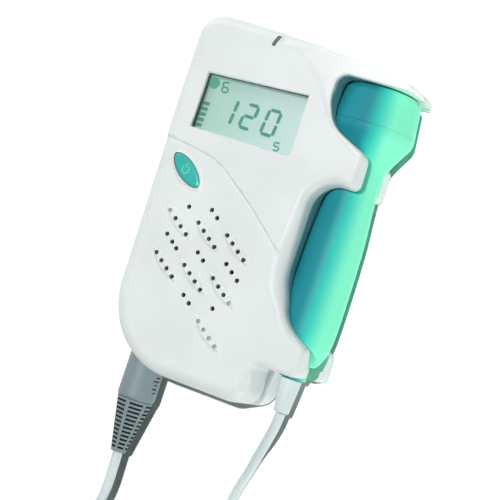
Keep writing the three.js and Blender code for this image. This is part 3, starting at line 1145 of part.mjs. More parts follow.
let leastGap = Infinity;
let coilLength = 0;
coilPoints.forEach((point, i) => {
  if (i) coilLength += point.distanceTo(coilPoints[i - 1]);
  for (let k = i + LOOP_STEPS / 2; k < coilPoints.length; k++) {
    leastGap = Math.min(leastGap, point.distanceTo(coilPoints[k]) - 2 * CABLE_R);
  }
});
console.log(`cable coil: least gap to itself ${leastGap.toFixed(2)} mm, length ${coilLength.toFixed(0)} mm`);
piece('cable_coil', tube(coilPoints, CABLE_R, LOOP_SIDES, new THREE.Vector3(0, 0, 1)), cableGrey);

function cableStretch(route) {
  const path = new THREE.CatmullRomCurve3(route.map((p) => new THREE.Vector3(...p)), false, 'centripetal');
  const section = new THREE.Shape();
  for (let k = 0; k < CABLE_SIDES; k++) {
    const angle = (k / CABLE_SIDES) * 2 * Math.PI;
    const [x, y] = [CABLE_R * Math.cos(angle), CABLE_R * Math.sin(angle)];
    if (k) section.lineTo(x, y);
    else section.moveTo(x, y);
  }
  section.closePath();
  const length = path.getLength();
  const steps = Math.ceil(length / CABLE_STEP);
  return toSolid(new THREE.ExtrudeGeometry(section, { steps, extrudePath: path, bevelEnabled: false }));
}
piece('probe_cable', cableStretch(probeRoute), cableGrey);
piece('plug_cable', cableStretch(plugRoute), cableGrey);

// Tie round the bundle, on the side of the coil away from the monitor
const bundleIn = coilStart - layerTurns * COIL_PITCH - CABLE_R - CLEAR;
const bundleOut = coilStart + CABLE_R + CLEAR;
const bundleTop = COIL_LIFT + 2 * CABLE_R + (COIL_LAYERS - 1) * COIL_LAYER + CLEAR;
const bundleFoot = COIL_LIFT - CLEAR;
const [tieFar, tieNear] = [COIL_Y - bundleOut, COIL_Y - bundleIn];
const tieOutside = box(
  COIL_X - TIE_W / 2, COIL_X + TIE_W / 2, tieFar - TIE_T, tieNear + TIE_T, bundleFoot - TIE_T, bundleTop + TIE_T,
);
const tie = tieOutside.subtract(box(COIL_X - TIE_W, COIL_X + TIE_W, tieFar, tieNear, bundleFoot, bundleTop));
piece('cable_tie', tie, rubber);

export default monitor;
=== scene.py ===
import json
from math import asin, atan2, ceil, copysign, cos, hypot, pi, radians, sin, tan
import bmesh
import bpy
from mathutils import Matrix, Vector

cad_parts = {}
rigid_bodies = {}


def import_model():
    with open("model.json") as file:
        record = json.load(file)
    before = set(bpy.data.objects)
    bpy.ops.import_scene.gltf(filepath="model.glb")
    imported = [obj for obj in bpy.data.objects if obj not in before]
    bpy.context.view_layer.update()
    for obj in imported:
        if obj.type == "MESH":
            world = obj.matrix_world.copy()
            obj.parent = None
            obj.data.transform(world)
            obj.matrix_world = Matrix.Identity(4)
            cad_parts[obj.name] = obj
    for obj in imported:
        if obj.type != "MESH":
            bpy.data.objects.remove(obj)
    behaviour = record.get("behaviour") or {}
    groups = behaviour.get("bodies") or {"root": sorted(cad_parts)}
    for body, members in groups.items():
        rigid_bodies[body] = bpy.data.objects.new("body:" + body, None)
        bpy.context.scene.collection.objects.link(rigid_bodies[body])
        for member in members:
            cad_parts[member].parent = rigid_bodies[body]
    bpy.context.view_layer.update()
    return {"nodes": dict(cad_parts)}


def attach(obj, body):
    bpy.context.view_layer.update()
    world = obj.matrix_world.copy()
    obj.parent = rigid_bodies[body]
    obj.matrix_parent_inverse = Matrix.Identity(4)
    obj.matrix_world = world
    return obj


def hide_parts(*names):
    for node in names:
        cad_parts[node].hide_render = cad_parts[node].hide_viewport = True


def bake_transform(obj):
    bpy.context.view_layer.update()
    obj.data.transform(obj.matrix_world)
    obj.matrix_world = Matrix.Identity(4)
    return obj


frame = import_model()
nodes = frame["nodes"]

# Shapes are worked out in millimetres and brought to metres when a piece is made.
MM = 0.001

# Where the photograph was taken from, in millimetres, with the camera's right, up and back.
VIEW_PLACE = Vector((210.62, -25.57, 472.53))
VIEW_AXES = Matrix(((0.86696, 0.31522, -0.38605), (-0.26509, 0.94758, 0.17841), (0.42204, -0.05234, 0.90507)))
LENS, FILM_WIDTH, PICTURE_WIDTH = 96.12, 36, 500
SHIFT_X, SHIFT_Y = -0.03, -0.07

camera = bpy.data.objects.new("camera", bpy.data.cameras.new("camera"))
bpy.context.collection.objects.link(camera)
camera.matrix_world = Matrix.Translation(VIEW_PLACE * MM) @ VIEW_AXES.transposed().to_4x4()
camera.data.lens = LENS
camera.data.sensor_width = FILM_WIDTH
camera.data.shift_x = SHIFT_X
camera.data.shift_y = SHIFT_Y
camera.data.clip_start = 0.02
camera.data.clip_end = 20
bpy.context.scene.camera = camera


# Finishes
class Socket:
    """An output socket on which sums can be written."""

    def __init__(self, tree, socket):
        self.tree = tree
        self.socket = socket

    def math(self, operation, first, second):
        return self.tree.node("ShaderNodeMath", {"operation": operation}, {0: first, 1: second})[0]

    def __add__(self, other):
        return self.math("ADD", self, other)

    def __sub__(self, other):
        return self.math("SUBTRACT", self, other)

    def __rsub__(self, other):
        return self.math("SUBTRACT", other, self)

    def __mul__(self, other):
        return self.math("MULTIPLY", self, other)

    __radd__ = __add__
    __rmul__ = __mul__

    def between(self, low, high):
        """0 below low, 1 above high, and smooth in between."""
        ends = {"Value": self, "From Min": low, "From Max": high}
        return self.tree.node("ShaderNodeMapRange", {"interpolation_type": "SMOOTHSTEP"}, ends)["Result"]


class Outputs:
    """The output sockets of a node, by name or number."""

    def __init__(self, tree, sockets):
        self.tree = tree
        self.sockets = sockets

    def __getitem__(self, key):
        return Socket(self.tree, self.sockets[key])


class Tree:
    """The nodes of a material or of the world."""

    def __init__(self, owner):
        owner.use_nodes = True
        self.nodes = owner.node_tree.nodes
        self.links = owner.node_tree.links

    def feed(self, socket, given):
        if isinstance(given, Socket):
            self.links.new(given.socket, socket)
        else:
            socket.default_value = given

    def node(self, kind, settings=None, inputs=None):
        """A new node from its type, its settings, and the values or links of its sockets, by name or number."""
        made = self.nodes.new(kind)
        for key, value in (settings or {}).items():
            setattr(made, key, value)
        for key, given in (inputs or {}).items():
            self.feed(made.inputs[key], given)
        return Outputs(self, made.outputs)


class Finish:
    """A material with one main shader and the nodes that feed it."""

    def __init__(self, name):
        self.material = bpy.data.materials.new(name)
        self.tree = Tree(self.material)
        self.shader = self.tree.nodes["Principled BSDF"]
        self.place = self.tree.node("ShaderNodeTexCoord")["Object"]

    def set(self, **inputs):
        """Values or links for the main shader, with _ for each space in a socket's name."""
        for key, given in inputs.items():
            self.tree.feed(self.shader.inputs[key.replace("_", " ")], given)
        return self

    def noise(self, scale, detail=2.0):
        given = {"Vector": self.place, "Scale": scale, "Detail": detail}
        return self.tree.node("ShaderNodeTexNoise", None, given)["Fac"]

    def along_axes(self):
        """How far along X, Y and Z a point lies, in metres."""
        split = self.tree.node("ShaderNodeSeparateXYZ", None, {"Vector": self.place})
        return split["X"], split["Y"], split["Z"]

    def blend(self, share, first, second):
        ends = {0: share, 6: colour(first), 7: colour(second)}
        return self.tree.node("ShaderNodeMix", {"data_type": "RGBA"}, ends)[2]

    def bump(self, height, depth):
        given = {"Height": height, "Distance": depth, "Strength": 1.0}
        return self.set(Normal=self.tree.node("ShaderNodeBump", None, given)["Normal"])


def colour(given):
    """Three display values from 0 to 255 as the linear colour that the shader takes."""
    if isinstance(given, Socket):
        return given
    linear = [c / 3294.6 if c <= 10 else ((c / 255 + 0.055) / 1.055) ** 2.4 for c in given]
    return (*linear, 1.0)


def clouded(made, cloud, tint):
    """A tint that is a little darker in places."""
    return made.blend(cloud.between(0.3, 0.7), tuple(c * 0.97 for c in tint), tint)


def moulded(name, tint, roughness, grain=0.00004, grain_scale=2600.0):
    """Moulded plastic or rubber: a fine even grain, with faint cloudy changes of tone and gloss.

    tint is a colour, or a function that makes one from the finish and its clouds.
    """
    made = Finish(name)
    cloud = made.noise(38.0, 3.0)
    fine = made.noise(grain_scale)
    made.set(Base_Color=tint(made, cloud) if callable(tint) else clouded(made, cloud, tint))
    made.set(Roughness=cloud * 0.08 + fine * 0.05 + (roughness - 0.065))
    return made.bump(fine, grain)


def metal(name, tint, roughness):
    made = Finish(name)
    streaks = made.noise(900.0, 4.0)
    tone = made.blend(streaks, tuple(c * 0.86 for c in tint), tint)
    made.set(Base_Color=tone, Metallic=1.0, Roughness=streaks * 0.16 + (roughness - 0.08))
    return made.bump(streaks, 0.00003)


def front_white_with_painted_light(made, cloud):
    """Shell white, painted lighter toward the wall over the probe's head: a painted highlight over the shade there."""
    x, y, z = made.along_axes()
    return made.blend((x + y).between(0.05, 0.1), clouded(made, cloud, (230, 235, 234)), (253, 255, 254))


def panel_green_with_painted_shadow(made, cloud):
    """The pale green of the liquid crystal, paler toward its right, with a painted shadow of the window's walls as a
    dark border on its left and top.
    """
    x, y, z = made.along_axes()
    pale = made.blend((x + (cloud - 0.5) * 0.01).between(-0.034, 0.004), (170, 212, 198), (200, 226, 222))
    # Painted shadow: a darker band along the panel's top edge, and another along its left edge.
    inner = made.blend((y - x * 0.02).between(0.04475, 0.04505), pale, (140, 172, 168))
    return made.blend(x.between(-0.0341, -0.0335), (122, 166, 160), inner)


def probe_teal_with_painted_light():
    """Glossy teal plastic with painted light: painted shade makes it deep blue green along the probe's left side, and a
    painted highlight makes it light mint along its right.
    """
    made = Finish("probe_teal_with_painted_light")
    x, y, z = made.along_axes()
    cloud = made.noise(45.0, 3.0)
    # Painted light: across runs left to right as the camera sees the probe, from painted shade on its left to a painted
    # highlight on its right.
    across = (x - 0.0294) * 0.905 - (z - 0.0175) * 0.42 + (cloud - 0.5) * 0.001
    deep = made.blend(across.between(-0.0055, 0.001), (34, 142, 154), (62, 214, 196))
    made.set(Base_Color=made.blend(across.between(-0.001, 0.006), deep, (138, 254, 212)))
    made.set(Roughness=cloud * 0.08 + 0.46, Specular_IOR_Level=0.16)
    return made.bump(made.noise(2400.0), 0.00001)


def clear_pane():
    made = Finish("clear_pane")
    scuff = made.noise(160.0, 3.0)
    return made.set(Base_Color=colour((214, 230, 224)), Roughness=scuff * 0.08 + 0.04, Alpha=0.05)


shell_plastic = moulded("shell_plastic", front_white_with_painted_light, 0.48)
back_plastic = moulded("back_plastic", (226, 230, 230), 0.46, grain=0.00007)
key_plastic = moulded("key_plastic", (42, 182, 170), 0.3, grain=0.00002)
symbol_paint = moulded("symbol_paint", (104, 214, 202), 0.4, grain=0.00001)
cable_skin = moulded("cable_skin", (218, 230, 231), 0.45, grain=0.00003)
plug_rubber = moulded("plug_rubber", (128, 143, 147), 0.5, grain=0.00006)
slot_shadow = moulded("slot_shadow", (6, 8, 9), 0.9)
hole_shade = moulded("hole_shade", (176, 182, 181), 0.7)
tie_rubber = moulded("tie_rubber", (92, 100, 103), 0.75, grain=0.0001)
dark_plastic = moulded("dark_plastic", (66, 72, 75), 0.5)
chip_case = moulded("chip_case", (28, 29, 31), 0.5)
smoke_plastic = moulded("smoke_plastic", (104, 112, 118), 0.25, grain=0.00001)
board_lacquer = moulded("board_lacquer", (42, 102, 66), 0.4, grain=0.00005, grain_scale=1100.0)
cone_paper = moulded("cone_paper", (34, 35, 37), 0.85, grain=0.0001, grain_scale=1500.0)
foam_rubber = moulded("foam_rubber", (44, 46, 50), 0.9, grain=0.0002, grain_scale=1200.0)
cell_sleeve = moulded("cell_sleeve", (58, 108, 146), 0.3, grain=0.00002)
bright_steel = metal("bright_steel", (190, 193, 196), 0.3)
crystal_silver = metal("crystal_silver", (196, 146, 104), 0.35)
teal_with_painted_light = probe_teal_with_painted_light()
panel_finish = moulded("display_panel", panel_green_with_painted_shadow, 0.35, grain=0.00001)
segment_finish = moulded("display_segments", (4, 132, 112), 0.45, grain=0.00001)
dot_finish = moulded("display_dot", (62, 168, 140), 0.45, grain=0.00001)
pane_finish = clear_pane()


# Meshes
def loft(rings):
    """A closed solid through rings of as many points each, in order."""
    bm = bmesh.new()
    place = bm.verts.layers.int.new("place")
    ring = []
    for i, point in enumerate(rings[0]):
        vert = bm.verts.new(point)
        vert[place] = i
        ring.append(vert)
    edges = [bm.edges.new((ring[i - 1], ring[i])) for i in range(len(ring))]
    bmesh.ops.contextual_create(bm, geom=edges)
    for points in rings[1:]:
        grown = bmesh.ops.extrude_edge_only(bm, edges=edges)["geom"]
        verts = {g for g in grown if isinstance(g, bmesh.types.BMVert)}
        edges = [g for g in grown if isinstance(g, bmesh.types.BMEdge) and verts.issuperset(g.verts)]
        for vert in verts:
            vert.co = points[vert[place]]
    bmesh.ops.contextual_create(bm, geom=edges)
    bmesh.ops.remove_doubles(bm, verts=bm.verts[:], dist=1e-4)
    bmesh.ops.recalc_face_normals(bm, faces=bm.faces[:])
    bm.verts.layers.int.remove(bm.verts.layers.int["place"])
    return bm


def prism(points, z0, z1):
    """An outline raised from one height to another."""
    return loft([[(x, y, z) for x, y in points] for z in (z0, z1)])


def turned(profile, x, z, sides=72):
    """A profile of (radius, y) turned about the line through x and z along Y. It starts and ends on that line."""
    bm = bmesh.new()
    verts = [bm.verts.new((x + r, y, z)) for r, y in profile]
    edges = [bm.edges.new((verts[i], verts[i + 1])) for i in range(len(verts) - 1)]
    bmesh.ops.spin(bm, geom=verts + edges, cent=(x, 0, z), axis=(0, 1, 0), angle=2 * pi, steps=sides, use_merge=True)
    bmesh.ops.remove_doubles(bm, verts=bm.verts[:], dist=1e-4)
    bmesh.ops.recalc_face_normals(bm, faces=bm.faces[:])
    return bm


def cone(place, foot_radius, top_radius, depth, sides):
    bm = bmesh.new()
    bmesh.ops.create_cone(
        bm, cap_ends=True, segments=sides, radius1=foot_radius, radius2=top_radius, depth=depth, matrix=place,
    )
    return bm


def cylinder(x, y, radius, z0, z1, sides=32, radius_top=None):
    """A cylinder along Z, or a cone where the top has its own radius."""
    top = radius if radius_top is None else radius_top
    return cone(Matrix.Translation((x, y, (z0 + z1) / 2)), radius, top, z1 - z0, sides)


def rod(x, z, radius, y0, y1, sides=32):
    """A cylinder along Y."""
    place = Matrix.Translation((x, (y0 + y1) / 2, z)) @ Matrix.Rotation(pi / 2, 4, "X")
    return cone(place, radius, radius, y1 - y0, sides)


def block(x0, x1, y0, y1, z0, z1):
    bm = bmesh.new()
    bmesh.ops.create_cube(bm, size=1.0)
    bmesh.ops.scale(bm, vec=(x1 - x0, y1 - y0, z1 - z0), verts=bm.verts[:])
    bmesh.ops.translate(bm, vec=((x0 + x1) / 2, (y0 + y1) / 2, (z0 + z1) / 2), verts=bm.verts[:])
    return bm


def bevelled(bm, size, segments):
    """The same solid with its sharp edges rounded."""
    sharp = [e for e in bm.edges if e.is_manifold and e.calc_face_angle(0) > radians(35)]
    bmesh.ops.bevel(
        bm, geom=sharp, offset=size, offset_type="OFFSET", segments=segments, profile=0.5, affect="EDGES",
        clamp_overlap=True, material=-1,
    )
    return bm


def mesh_of(bm, name="shape"):
    """The mesh of a bmesh, which is freed."""
    mesh = bpy.data.meshes.new(name)
    bm.to_mesh(mesh)
    bm.free()
    return mesh


def worked(bm, tools, operation="DIFFERENCE"):
    """The solid with the tools cut out of it, or joined to it."""
    scene = bpy.context.scene.collection
    holder = bpy.data.collections.new("tools")
    scene.children.link(holder)
    base = bpy.data.objects.new("base", mesh_of(bm))
    scene.objects.link(base)
    for tool in tools:
        holder.objects.link(bpy.data.objects.new("tool", mesh_of(tool)))
    step = base.modifiers.new("step", "BOOLEAN")
    step.operation = operation
    step.solver = "EXACT"
    step.operand_type = "COLLECTION"
    step.collection = holder
    bpy.context.view_layer.update()
    made = bmesh.new()
    made.from_object(base, bpy.context.evaluated_depsgraph_get())
    for used in [base, *holder.objects]:
        mesh = used.data
        bpy.data.objects.remove(used)
        bpy.data.meshes.remove(mesh)
    bpy.data.collections.remove(holder)
    bmesh.ops.remove_doubles(made, verts=made.verts[:], dist=2e-3)
    bmesh.ops.dissolve_degenerate(made, edges=made.edges[:], dist=1e-4)
    return made


def joined(parts):
    """Several separate closed shapes as one mesh."""
    bm = bmesh.new()
    for part in parts:
        mesh = mesh_of(part)
        bm.from_mesh(mesh)
        bpy.data.meshes.remove(mesh)
    return bm


def piece(name, bm, finishes, body, replaces=(), angle=32, weighted=True):
    """A finished piece in metres, which rides on a body and stands for the named nodes."""
    bmesh.ops.scale(bm, vec=(MM, MM, MM), verts=bm.verts[:])
    mesh = mesh_of(bm, name)
    made = bpy.data.objects.new(name, mesh)
    bpy.context.scene.collection.objects.link(made)
    for finish in finishes if isinstance(finishes, list) else [finishes]:
        mesh.materials.append(finish.material)
    for face in mesh.polygons:
        face.use_smooth = True
    mesh.set_sharp_from_angle(angle=radians(angle))
    if weighted:
        normals = made.modifiers.new("normals", "WEIGHTED_NORMAL")
        normals.keep_sharp = True
    if body:
        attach(made, body)
    if replaces:
        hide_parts(*replaces)
    return made


def smooth_line(points, steps):
    """Points on a smooth curve through the given ones, some steps to each span."""
    line = [Vector(p) for p in points]
    made = []
    for i in range(len(line) - 1):
        a, b, c, d = line[max(i - 1, 0)], line[i], line[i + 1], line[min(i + 2, len(line) - 1)]
        for k in range(steps):
            t = k / steps
            bend, twist = 2 * a - 5 * b + 4 * c - d, 3 * b - 3 * c + d - a
            made.append(0.5 * (2 * b + (c - a) * t + bend * t * t + twist * t ** 3))
    return made + [line[-1]]


def share(start, end, part):
    """The value that lies so far on the way from start to end."""
    return start + (end - start) * part


def ease(t):
    """0 up to 0 and 1 from 1, with a soft start and end between."""
    t = min(max(t, 0.0), 1.0)
    return t * t * (3 - 2 * t)


# Sizes of the monitor
HALF_W, HALF_L, BODY_T = 45.2, 68.2, 35.0
WALL, CLEAR, OVERRUN = 2.0, 0.3, 3.0
SEAM, SEAM_Z = 0.3, 17.5
FACE_Z, ROOF_Z = 34.2, 32.2
EDGE_R, EDGE_CLIP, EDGE_POCKET = 5.0, 1.8, 0.9
CRADLE_GAP, CRADLE_WALL, CRADLE_REACH = 0.5, 2.0, 18.8

# Sizes on the face: the display's opening, the indicator's slit, the power button, and the speaker's slanting leaves
LCD_X, LCD_Y, LCD_W, LCD_H, LCD_FLARE, LCD_RIM = -13.2, 34.4, 42.5, 22.3, 0.85, 2.1
SLIT_W, SLIT_DEPTH = 1.5, 4.65
BUTTON, BUTTON_L, BUTTON_W = (-30.2, 7.3), 16.7, 6.7
LEAF_ANGLE, LEAF_COL, LEAF_ROW, LEAF_FALL = -0.632, 12.85, 16.5, 1.27
FIRST_LEAF_X, FIRST_LEAF_Y, HOLE_PITCH, HOLE_R = -26.5, -12.3, 3.84, 0.88

# Sizes of the probe: its axis, its heights along Y and its radii
PROBE_X, PROBE_Z = 29.4, 17.5
PROBE_TOP, CAP_FOOT, HEAD_BASE, WAIST_TOP, WAIST_FOOT = 56.7, 42.5, 39.6, 27.0, 16.0
GRIP_FOOT, TAIL_FOOT, NECK_FOOT = -41.0, -47.6, -53.4
FACE_R, HEAD_R, HEAD_BASE_R, WAIST_R, GRIP_R, TAIL_R, NECK_R = 14.4, 15.8, 15.5, 8.9, 10.7, 6.8, 5.1
FACE_CHAMFER = 1.8
LEAD_END_Y = -66.5

# The probe's cable, from its strain relief to the coil and from the coil to the plug
CABLE_R = 1.9
probe_route = [
    (29.5, -66.6, 17.5), (28.9, -71, 16.9), (27, -76, 14.2), (24.1, -81.2, 9.6), (21.2, -86.6, 5.3), (19.1, -92.5, 2.8),
    (16.9, -99.4, 2.1), (15.5, -107, 2.1), (15.2, -115.5, 2.2), (15.9, -124.5, 2.5), (17.2, -133.5, 2.9),
    (18.4, -142, 3.15),
]
plug_route = [
    (-36.3, -142, 16.3), (-34.6, -135, 16.05), (-32, -128, 15.95), (-29.9, -121.6, 16.2), (-28.9, -115.5, 16.8),
    (-28.7, -109, 17.3), (-28.9, -102.0, 17.5),
]
COIL_X, COIL_Y, COIL_MEAN_R, COIL_LIFT, COIL_PITCH = -9.0, -153.0, 22.5, 1.3, 4.4
COIL_TURNS, COIL_LAYERS, LOOP_STEPS = 9.5, 4, 48
layer_turns = COIL_TURNS / COIL_LAYERS
coil_start = COIL_MEAN_R + layer_turns * COIL_PITCH / 2


def coil_line():
    """The wound part: four layers that spiral in and out again, each a pitch above the last."""
    step_turns = 0.25
    line = []
    for i in range(int(COIL_TURNS * LOOP_STEPS) + 1):
        turn = i / LOOP_STEPS
        layer = min(int(turn / layer_turns), COIL_LAYERS - 1)
        done = turn - layer * layer_turns
        travelled = layer_turns - done if layer % 2 else done
        climb = layer
        if layer > 0 and done < step_turns:
            climb += (done - step_turns) * 2
        if layer < COIL_LAYERS - 1 and layer_turns - done < step_turns:
            climb += (step_turns - (layer_turns - done)) * 2
        r = coil_start - travelled * COIL_PITCH
        angle = -turn * 2 * pi
        height = COIL_LIFT + CABLE_R + climb * COIL_PITCH
        line.append(Vector((COIL_X + r * cos(angle), COIL_Y + r * sin(angle), height)))
    return line


def cable():
    """The cable's tube, the points that it follows, and its length."""
    coil = coil_line()
    lead_in = Vector((0, 3.8, 0))
    first, last = coil[0] + lead_in, coil[-1] + lead_in
    line = smooth_line([*probe_route, first], 6)[:-1] + [first, *coil] + smooth_line([last, *plug_route], 6)
    curve = bpy.data.curves.new("probe_lead", "CURVE")
    curve.dimensions = "3D"
    curve.bevel_depth = CABLE_R
    curve.bevel_resolution = 5
    curve.use_fill_caps = True
    spline = curve.splines.new("POLY")
    spline.points.add(len(line) - 1)
    for point, at in zip(spline.points, line):
        point.co = (*at, 1)
    holder = bpy.data.objects.new("lead_line", curve)
    bpy.context.scene.collection.objects.link(holder)
    bpy.context.view_layer.update()
    tube = bpy.data.meshes.new_from_object(holder.evaluated_get(bpy.context.evaluated_depsgraph_get()))
    bm = bmesh.new()
    bm.from_mesh(tube)
    bpy.data.meshes.remove(tube)
    bpy.data.objects.remove(holder)
    bpy.data.curves.remove(curve)
    bmesh.ops.remove_doubles(bm, verts=bm.verts[:], dist=1e-3)
    bmesh.ops.recalc_face_normals(bm, faces=bm.faces[:])
    length = sum((b - a).length for a, b in zip(line, line[1:]))
    return bm, [p * MM for p in line], length * MM


lead_mesh, lead_path, lead_length = cable()
probe_lead = piece(
    "probe_lead", lead_mesh, cable_skin, None, ("probe_cable", "cable_coil", "plug_cable"),
    angle=60, weighted=False,
)
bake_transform(probe_lead)


# Outlines
def rounded_outline(corners, step=pi / 48):
    """An outline with rounded corners, as points with their outward normals and edge radii.

    Each corner is x, y, its radius, its edge radius, and perhaps the part of a side that its bend may take.
    """
    outline = []
    count = len(corners)
    for i, (x, y, radius, edge, *bend) in enumerate(corners):
        before, after = corners[i - 1], corners[(i + 1) % count]
        into, out = Vector((x - before[0], y - before[1])), Vector((after[0] - x, after[1] - y))
        room = min(into.length, out.length) * (bend[0] if bend else 0.5)
        into.normalize()
        out.normalize()
        turn = atan2(into.x * out.y - into.y * out.x, into.dot(out))
        reach = min(radius * tan(abs(turn) / 2), room)
        arc = reach / tan(abs(turn) / 2)
        steps = max(1, ceil(abs(turn) / step))
        side = copysign(1, turn)
        start = Vector((x, y)) - into * reach
        centre = start + Vector((-into.y, into.x)) * arc * side
        for k in range(steps + 1):
            heading = into.copy()
            heading.rotate(Matrix.Rotation(turn * k / steps, 2))
            normal = Vector((heading.y, -heading.x))
            outline.append((centre + normal * arc * side, normal, edge))
    return outline


# The arm over the probe's waist, the low arm beside its tail, and the pocket of its head
clip_top, clip_foot = WAIST_TOP + 3.4, WAIST_TOP + 3.4 - 12.8
low_foot, low_top = NECK_FOOT + 1.1, NECK_FOOT + 1.1 + 10.6
pocket_top, pocket_left = PROBE_TOP + 0.6, PROBE_X - HEAD_R + 2.5
grip_left, heel_right = PROBE_X - 9.8, PROBE_X - 9.0
tip_upper, tip_lower = PROBE_X + 6.2, PROBE_X + 7.6
top_right, top_right_y = HALF_W - 0.6, HALF_L - 8.8
inner_right = PROBE_X - HEAD_R - CRADLE_WALL
ARM_R, SIDE_R, TOP_R = 2.6, 136.4, 272.8


def grip_side(across, down):
    """A corner on the opening beside the grip, whose edge grows sharp toward the low arm."""
    x, y = share(grip_left, tip_lower, across), share(low_top, clip_foot, down)
    return x, y, 22, EDGE_R - across * EDGE_R


def head_side(across, up):
    """A corner on the opening beside the probe's head."""
    return share(pocket_left, tip_upper, across), share(clip_top, pocket_top, up), 16, EDGE_POCKET


def top_side(across, down):
    """A corner on the top, whose edge grows sharper toward the probe."""
    x, y = share(-HALF_W, HALF_W, across), share(HALF_L, top_right_y, down)
    return x, y, TOP_R, share(EDGE_R, EDGE_CLIP, across * across * 1.2)


body_corners = [
    (-HALF_W + 2, -HALF_L, 30, EDGE_R), (heel_right, -HALF_L, 7, EDGE_R), (heel_right, low_foot, ARM_R, EDGE_CLIP),
    (tip_lower, low_foot, ARM_R, EDGE_CLIP), (tip_lower, low_top, ARM_R, EDGE_CLIP),
    grip_side(0.42, 0.1), grip_side(0, 0.38), (grip_left, clip_foot, 10, EDGE_R - EDGE_CLIP, 0.7),
    (tip_upper, clip_foot, ARM_R, EDGE_CLIP), (tip_upper, clip_top, ARM_R, EDGE_CLIP),
    head_side(0.22, 0.27), head_side(0, 0.62), (pocket_left, pocket_top, 4, EDGE_POCKET),
    (top_right, pocket_top - 0.6, EDGE_POCKET, 0.6), (top_right, top_right_y, EDGE_CLIP, 1.5),
    top_side(0.677, 0.4), top_side(0.212, 0), (-HALF_W, HALF_L, 9, EDGE_R), (-HALF_W, HALF_L / 2, SIDE_R, EDGE_R),
]
inner_corners = [
    (-HALF_W + 4, -HALF_L + WALL, 28, 3), (heel_right - WALL, -HALF_L + WALL, 5, 3),
    (heel_right - WALL, clip_foot, 2, 2), (inner_right, clip_top, 7, 2),
    (inner_right, share(top_right_y, HALF_L, 0.4) - WALL, 2, 2),
    (-HALF_W + WALL, HALF_L - WALL, 7, 3), (-HALF_W + WALL, HALF_L / 2, SIDE_R, 3),
]


def face_line(places):
    """A smooth line over the face, through places given as parts of half its width and length."""
    points = [Vector((x * HALF_W, y * HALF_L, 0)) for x, y in places]
    return [(p.x, p.y) for p in smooth_line(points, 4)]


# The display area stands 0.8 mm above the rest. A soft slope borders it toward the probe head, and a crease below.
brim = face_line([(-0.25, 1.05), (-0.215, 0.93), (0.03, 0.847), (0.206, 0.75), (0.343, 0.607), (0.47, 0.525)])
brim.append((share(pocket_left, tip_upper, 0.6), clip_top))
brim_rest = [(HALF_W + OVERRUN, clip_top), (HALF_W + OVERRUN, HALF_L + OVERRUN)]
crease = face_line([
    (-1.1, 0.27), (-0.874, 0.268), (-0.451, 0.217), (-0.157, 0.1), (0.115, -0.031), (0.325, -0.147), (0.42, -0.193),
])
crease_end = crease[-1][1]
crease_rest = [
    (HALF_W + OVERRUN, crease_end), (HALF_W + OVERRUN, -HALF_L - OVERRUN), (-HALF_W - OVERRUN - 2, -HALF_L - OVERRUN),
]
BRIM_SLOPE, CREASE_SLOPE, FALL_START, FALL_LENGTH = 2.8, 1.1, 4, 4.5


def inside(x, y, corners):
    """Whether a point lies within a closed line."""
    hit = False
    for i in range(len(corners)):
        (x0, y0), (x1, y1) = corners[i - 1], corners[i]
        if (y0 > y) != (y1 > y) and x < (x1 - x0) * (y - y0) / (y1 - y0) + x0:
            hit = not hit
    return hit


def off_line(x, y, line):
    """Distance from a point to an open line."""
    p = Vector((x, y))
    best = 1e9
    for a, b in zip(line, line[1:]):
        a, d = Vector(a), Vector(b) - Vector(a)
        t = min(max((p - a).dot(d) / d.length_squared, 0), 1)
        best = min(best, (p - a - d * t).length)
    return best


def sunk(x, y):
    """How far down the face lies at a point: 0 on the display area, 1 on the rest."""
    if inside(x, y, brim + brim_rest):
        return ease(off_line(x, y, brim) / BRIM_SLOPE)
    if x > 0:
        # Past the crease's end the right side falls off on its own.
        return ease((crease_end + FALL_START - y) / FALL_LENGTH)
    if inside(x, y, crease + crease_rest):
        return ease(off_line(x, y, crease) / CREASE_SLOPE)
    return 0.0


def level(point):
    """The height of the face at a point."""
    return BODY_T - (BODY_T - FACE_Z) * sunk(point.x, point.y)


def finer(outline, span_length=0.3):
    """More points on the outline where the height of the face changes."""
    made = []
    for i, (point, normal, edge) in enumerate(outline):
        after = outline[(i + 1) % len(outline)]
        made.append((point, normal, edge))
        span = (after[0] - point).length
        parts = max(1, ceil(span / span_length)) if abs(sunk(*after[0]) - sunk(*point)) > 0.02 else 1
        for k in range(1, parts):
            t = k / parts
            made.append((point.lerp(after[0], t), normal.lerp(after[1], t).normalized(), share(edge, after[2], t)))
    return made


def rounded_plate(outline, z_flat, z_round, height=None, steps=10, lip=None):
    """A plate of that outline with its far edge rounded.

    height gives each point its own far height, and lip then takes all of them to one height.
    """
    way = 1 if z_round > z_flat else -1
    far = [height(point) if height else z_round for point, normal, edge in outline]
    rings = [[(p.x, p.y, z_flat) for p, n, e in outline]]
    for k in range(steps + 1):
        angle = k / steps * pi / 2
        rings.append([
            (p.x - n.x * e * (1 - cos(angle)), p.y - n.y * e * (1 - cos(angle)), z - way * e * (1 - sin(angle)))
            for (p, n, e), z in zip(outline, far)
        ])
    if lip is not None:
        rings.append([(x, y, lip) for x, y, z in rings[-1]])
    return loft(rings)


def sloped_cut(line, rest, width, steps):
    """Room above the lower face beside a line, with a soft slope of that width along it."""
    normals = []
    for i in range(len(line)):
        a, b = Vector(line[max(i - 1, 0)]), Vector(line[min(i + 1, len(line) - 1)])
        d = (b - a).normalized()
        normals.append(Vector((d.y, -d.x)))
    half = len(line) // 2
    beside = Vector(line[half]) + normals[half] * 0.1
    way = 1 if inside(beside.x, beside.y, line + rest) else -1
    rings = []
    for k in range(steps + 1):
        t = k / steps
        shift = width * (1 - t) * way
        z = FACE_Z + (BODY_T - FACE_Z) * (1 - ease(1 - t))
        slope = [(x + n.x * shift, y + n.y * shift, z) for (x, y), n in zip(line, normals)]
        rings.append(slope + [(x, y, z) for x, y in rest])
    rings.append([(x, y, BODY_T + OVERRUN) for x, y, z in rings[-1]])
    return loft(rings)


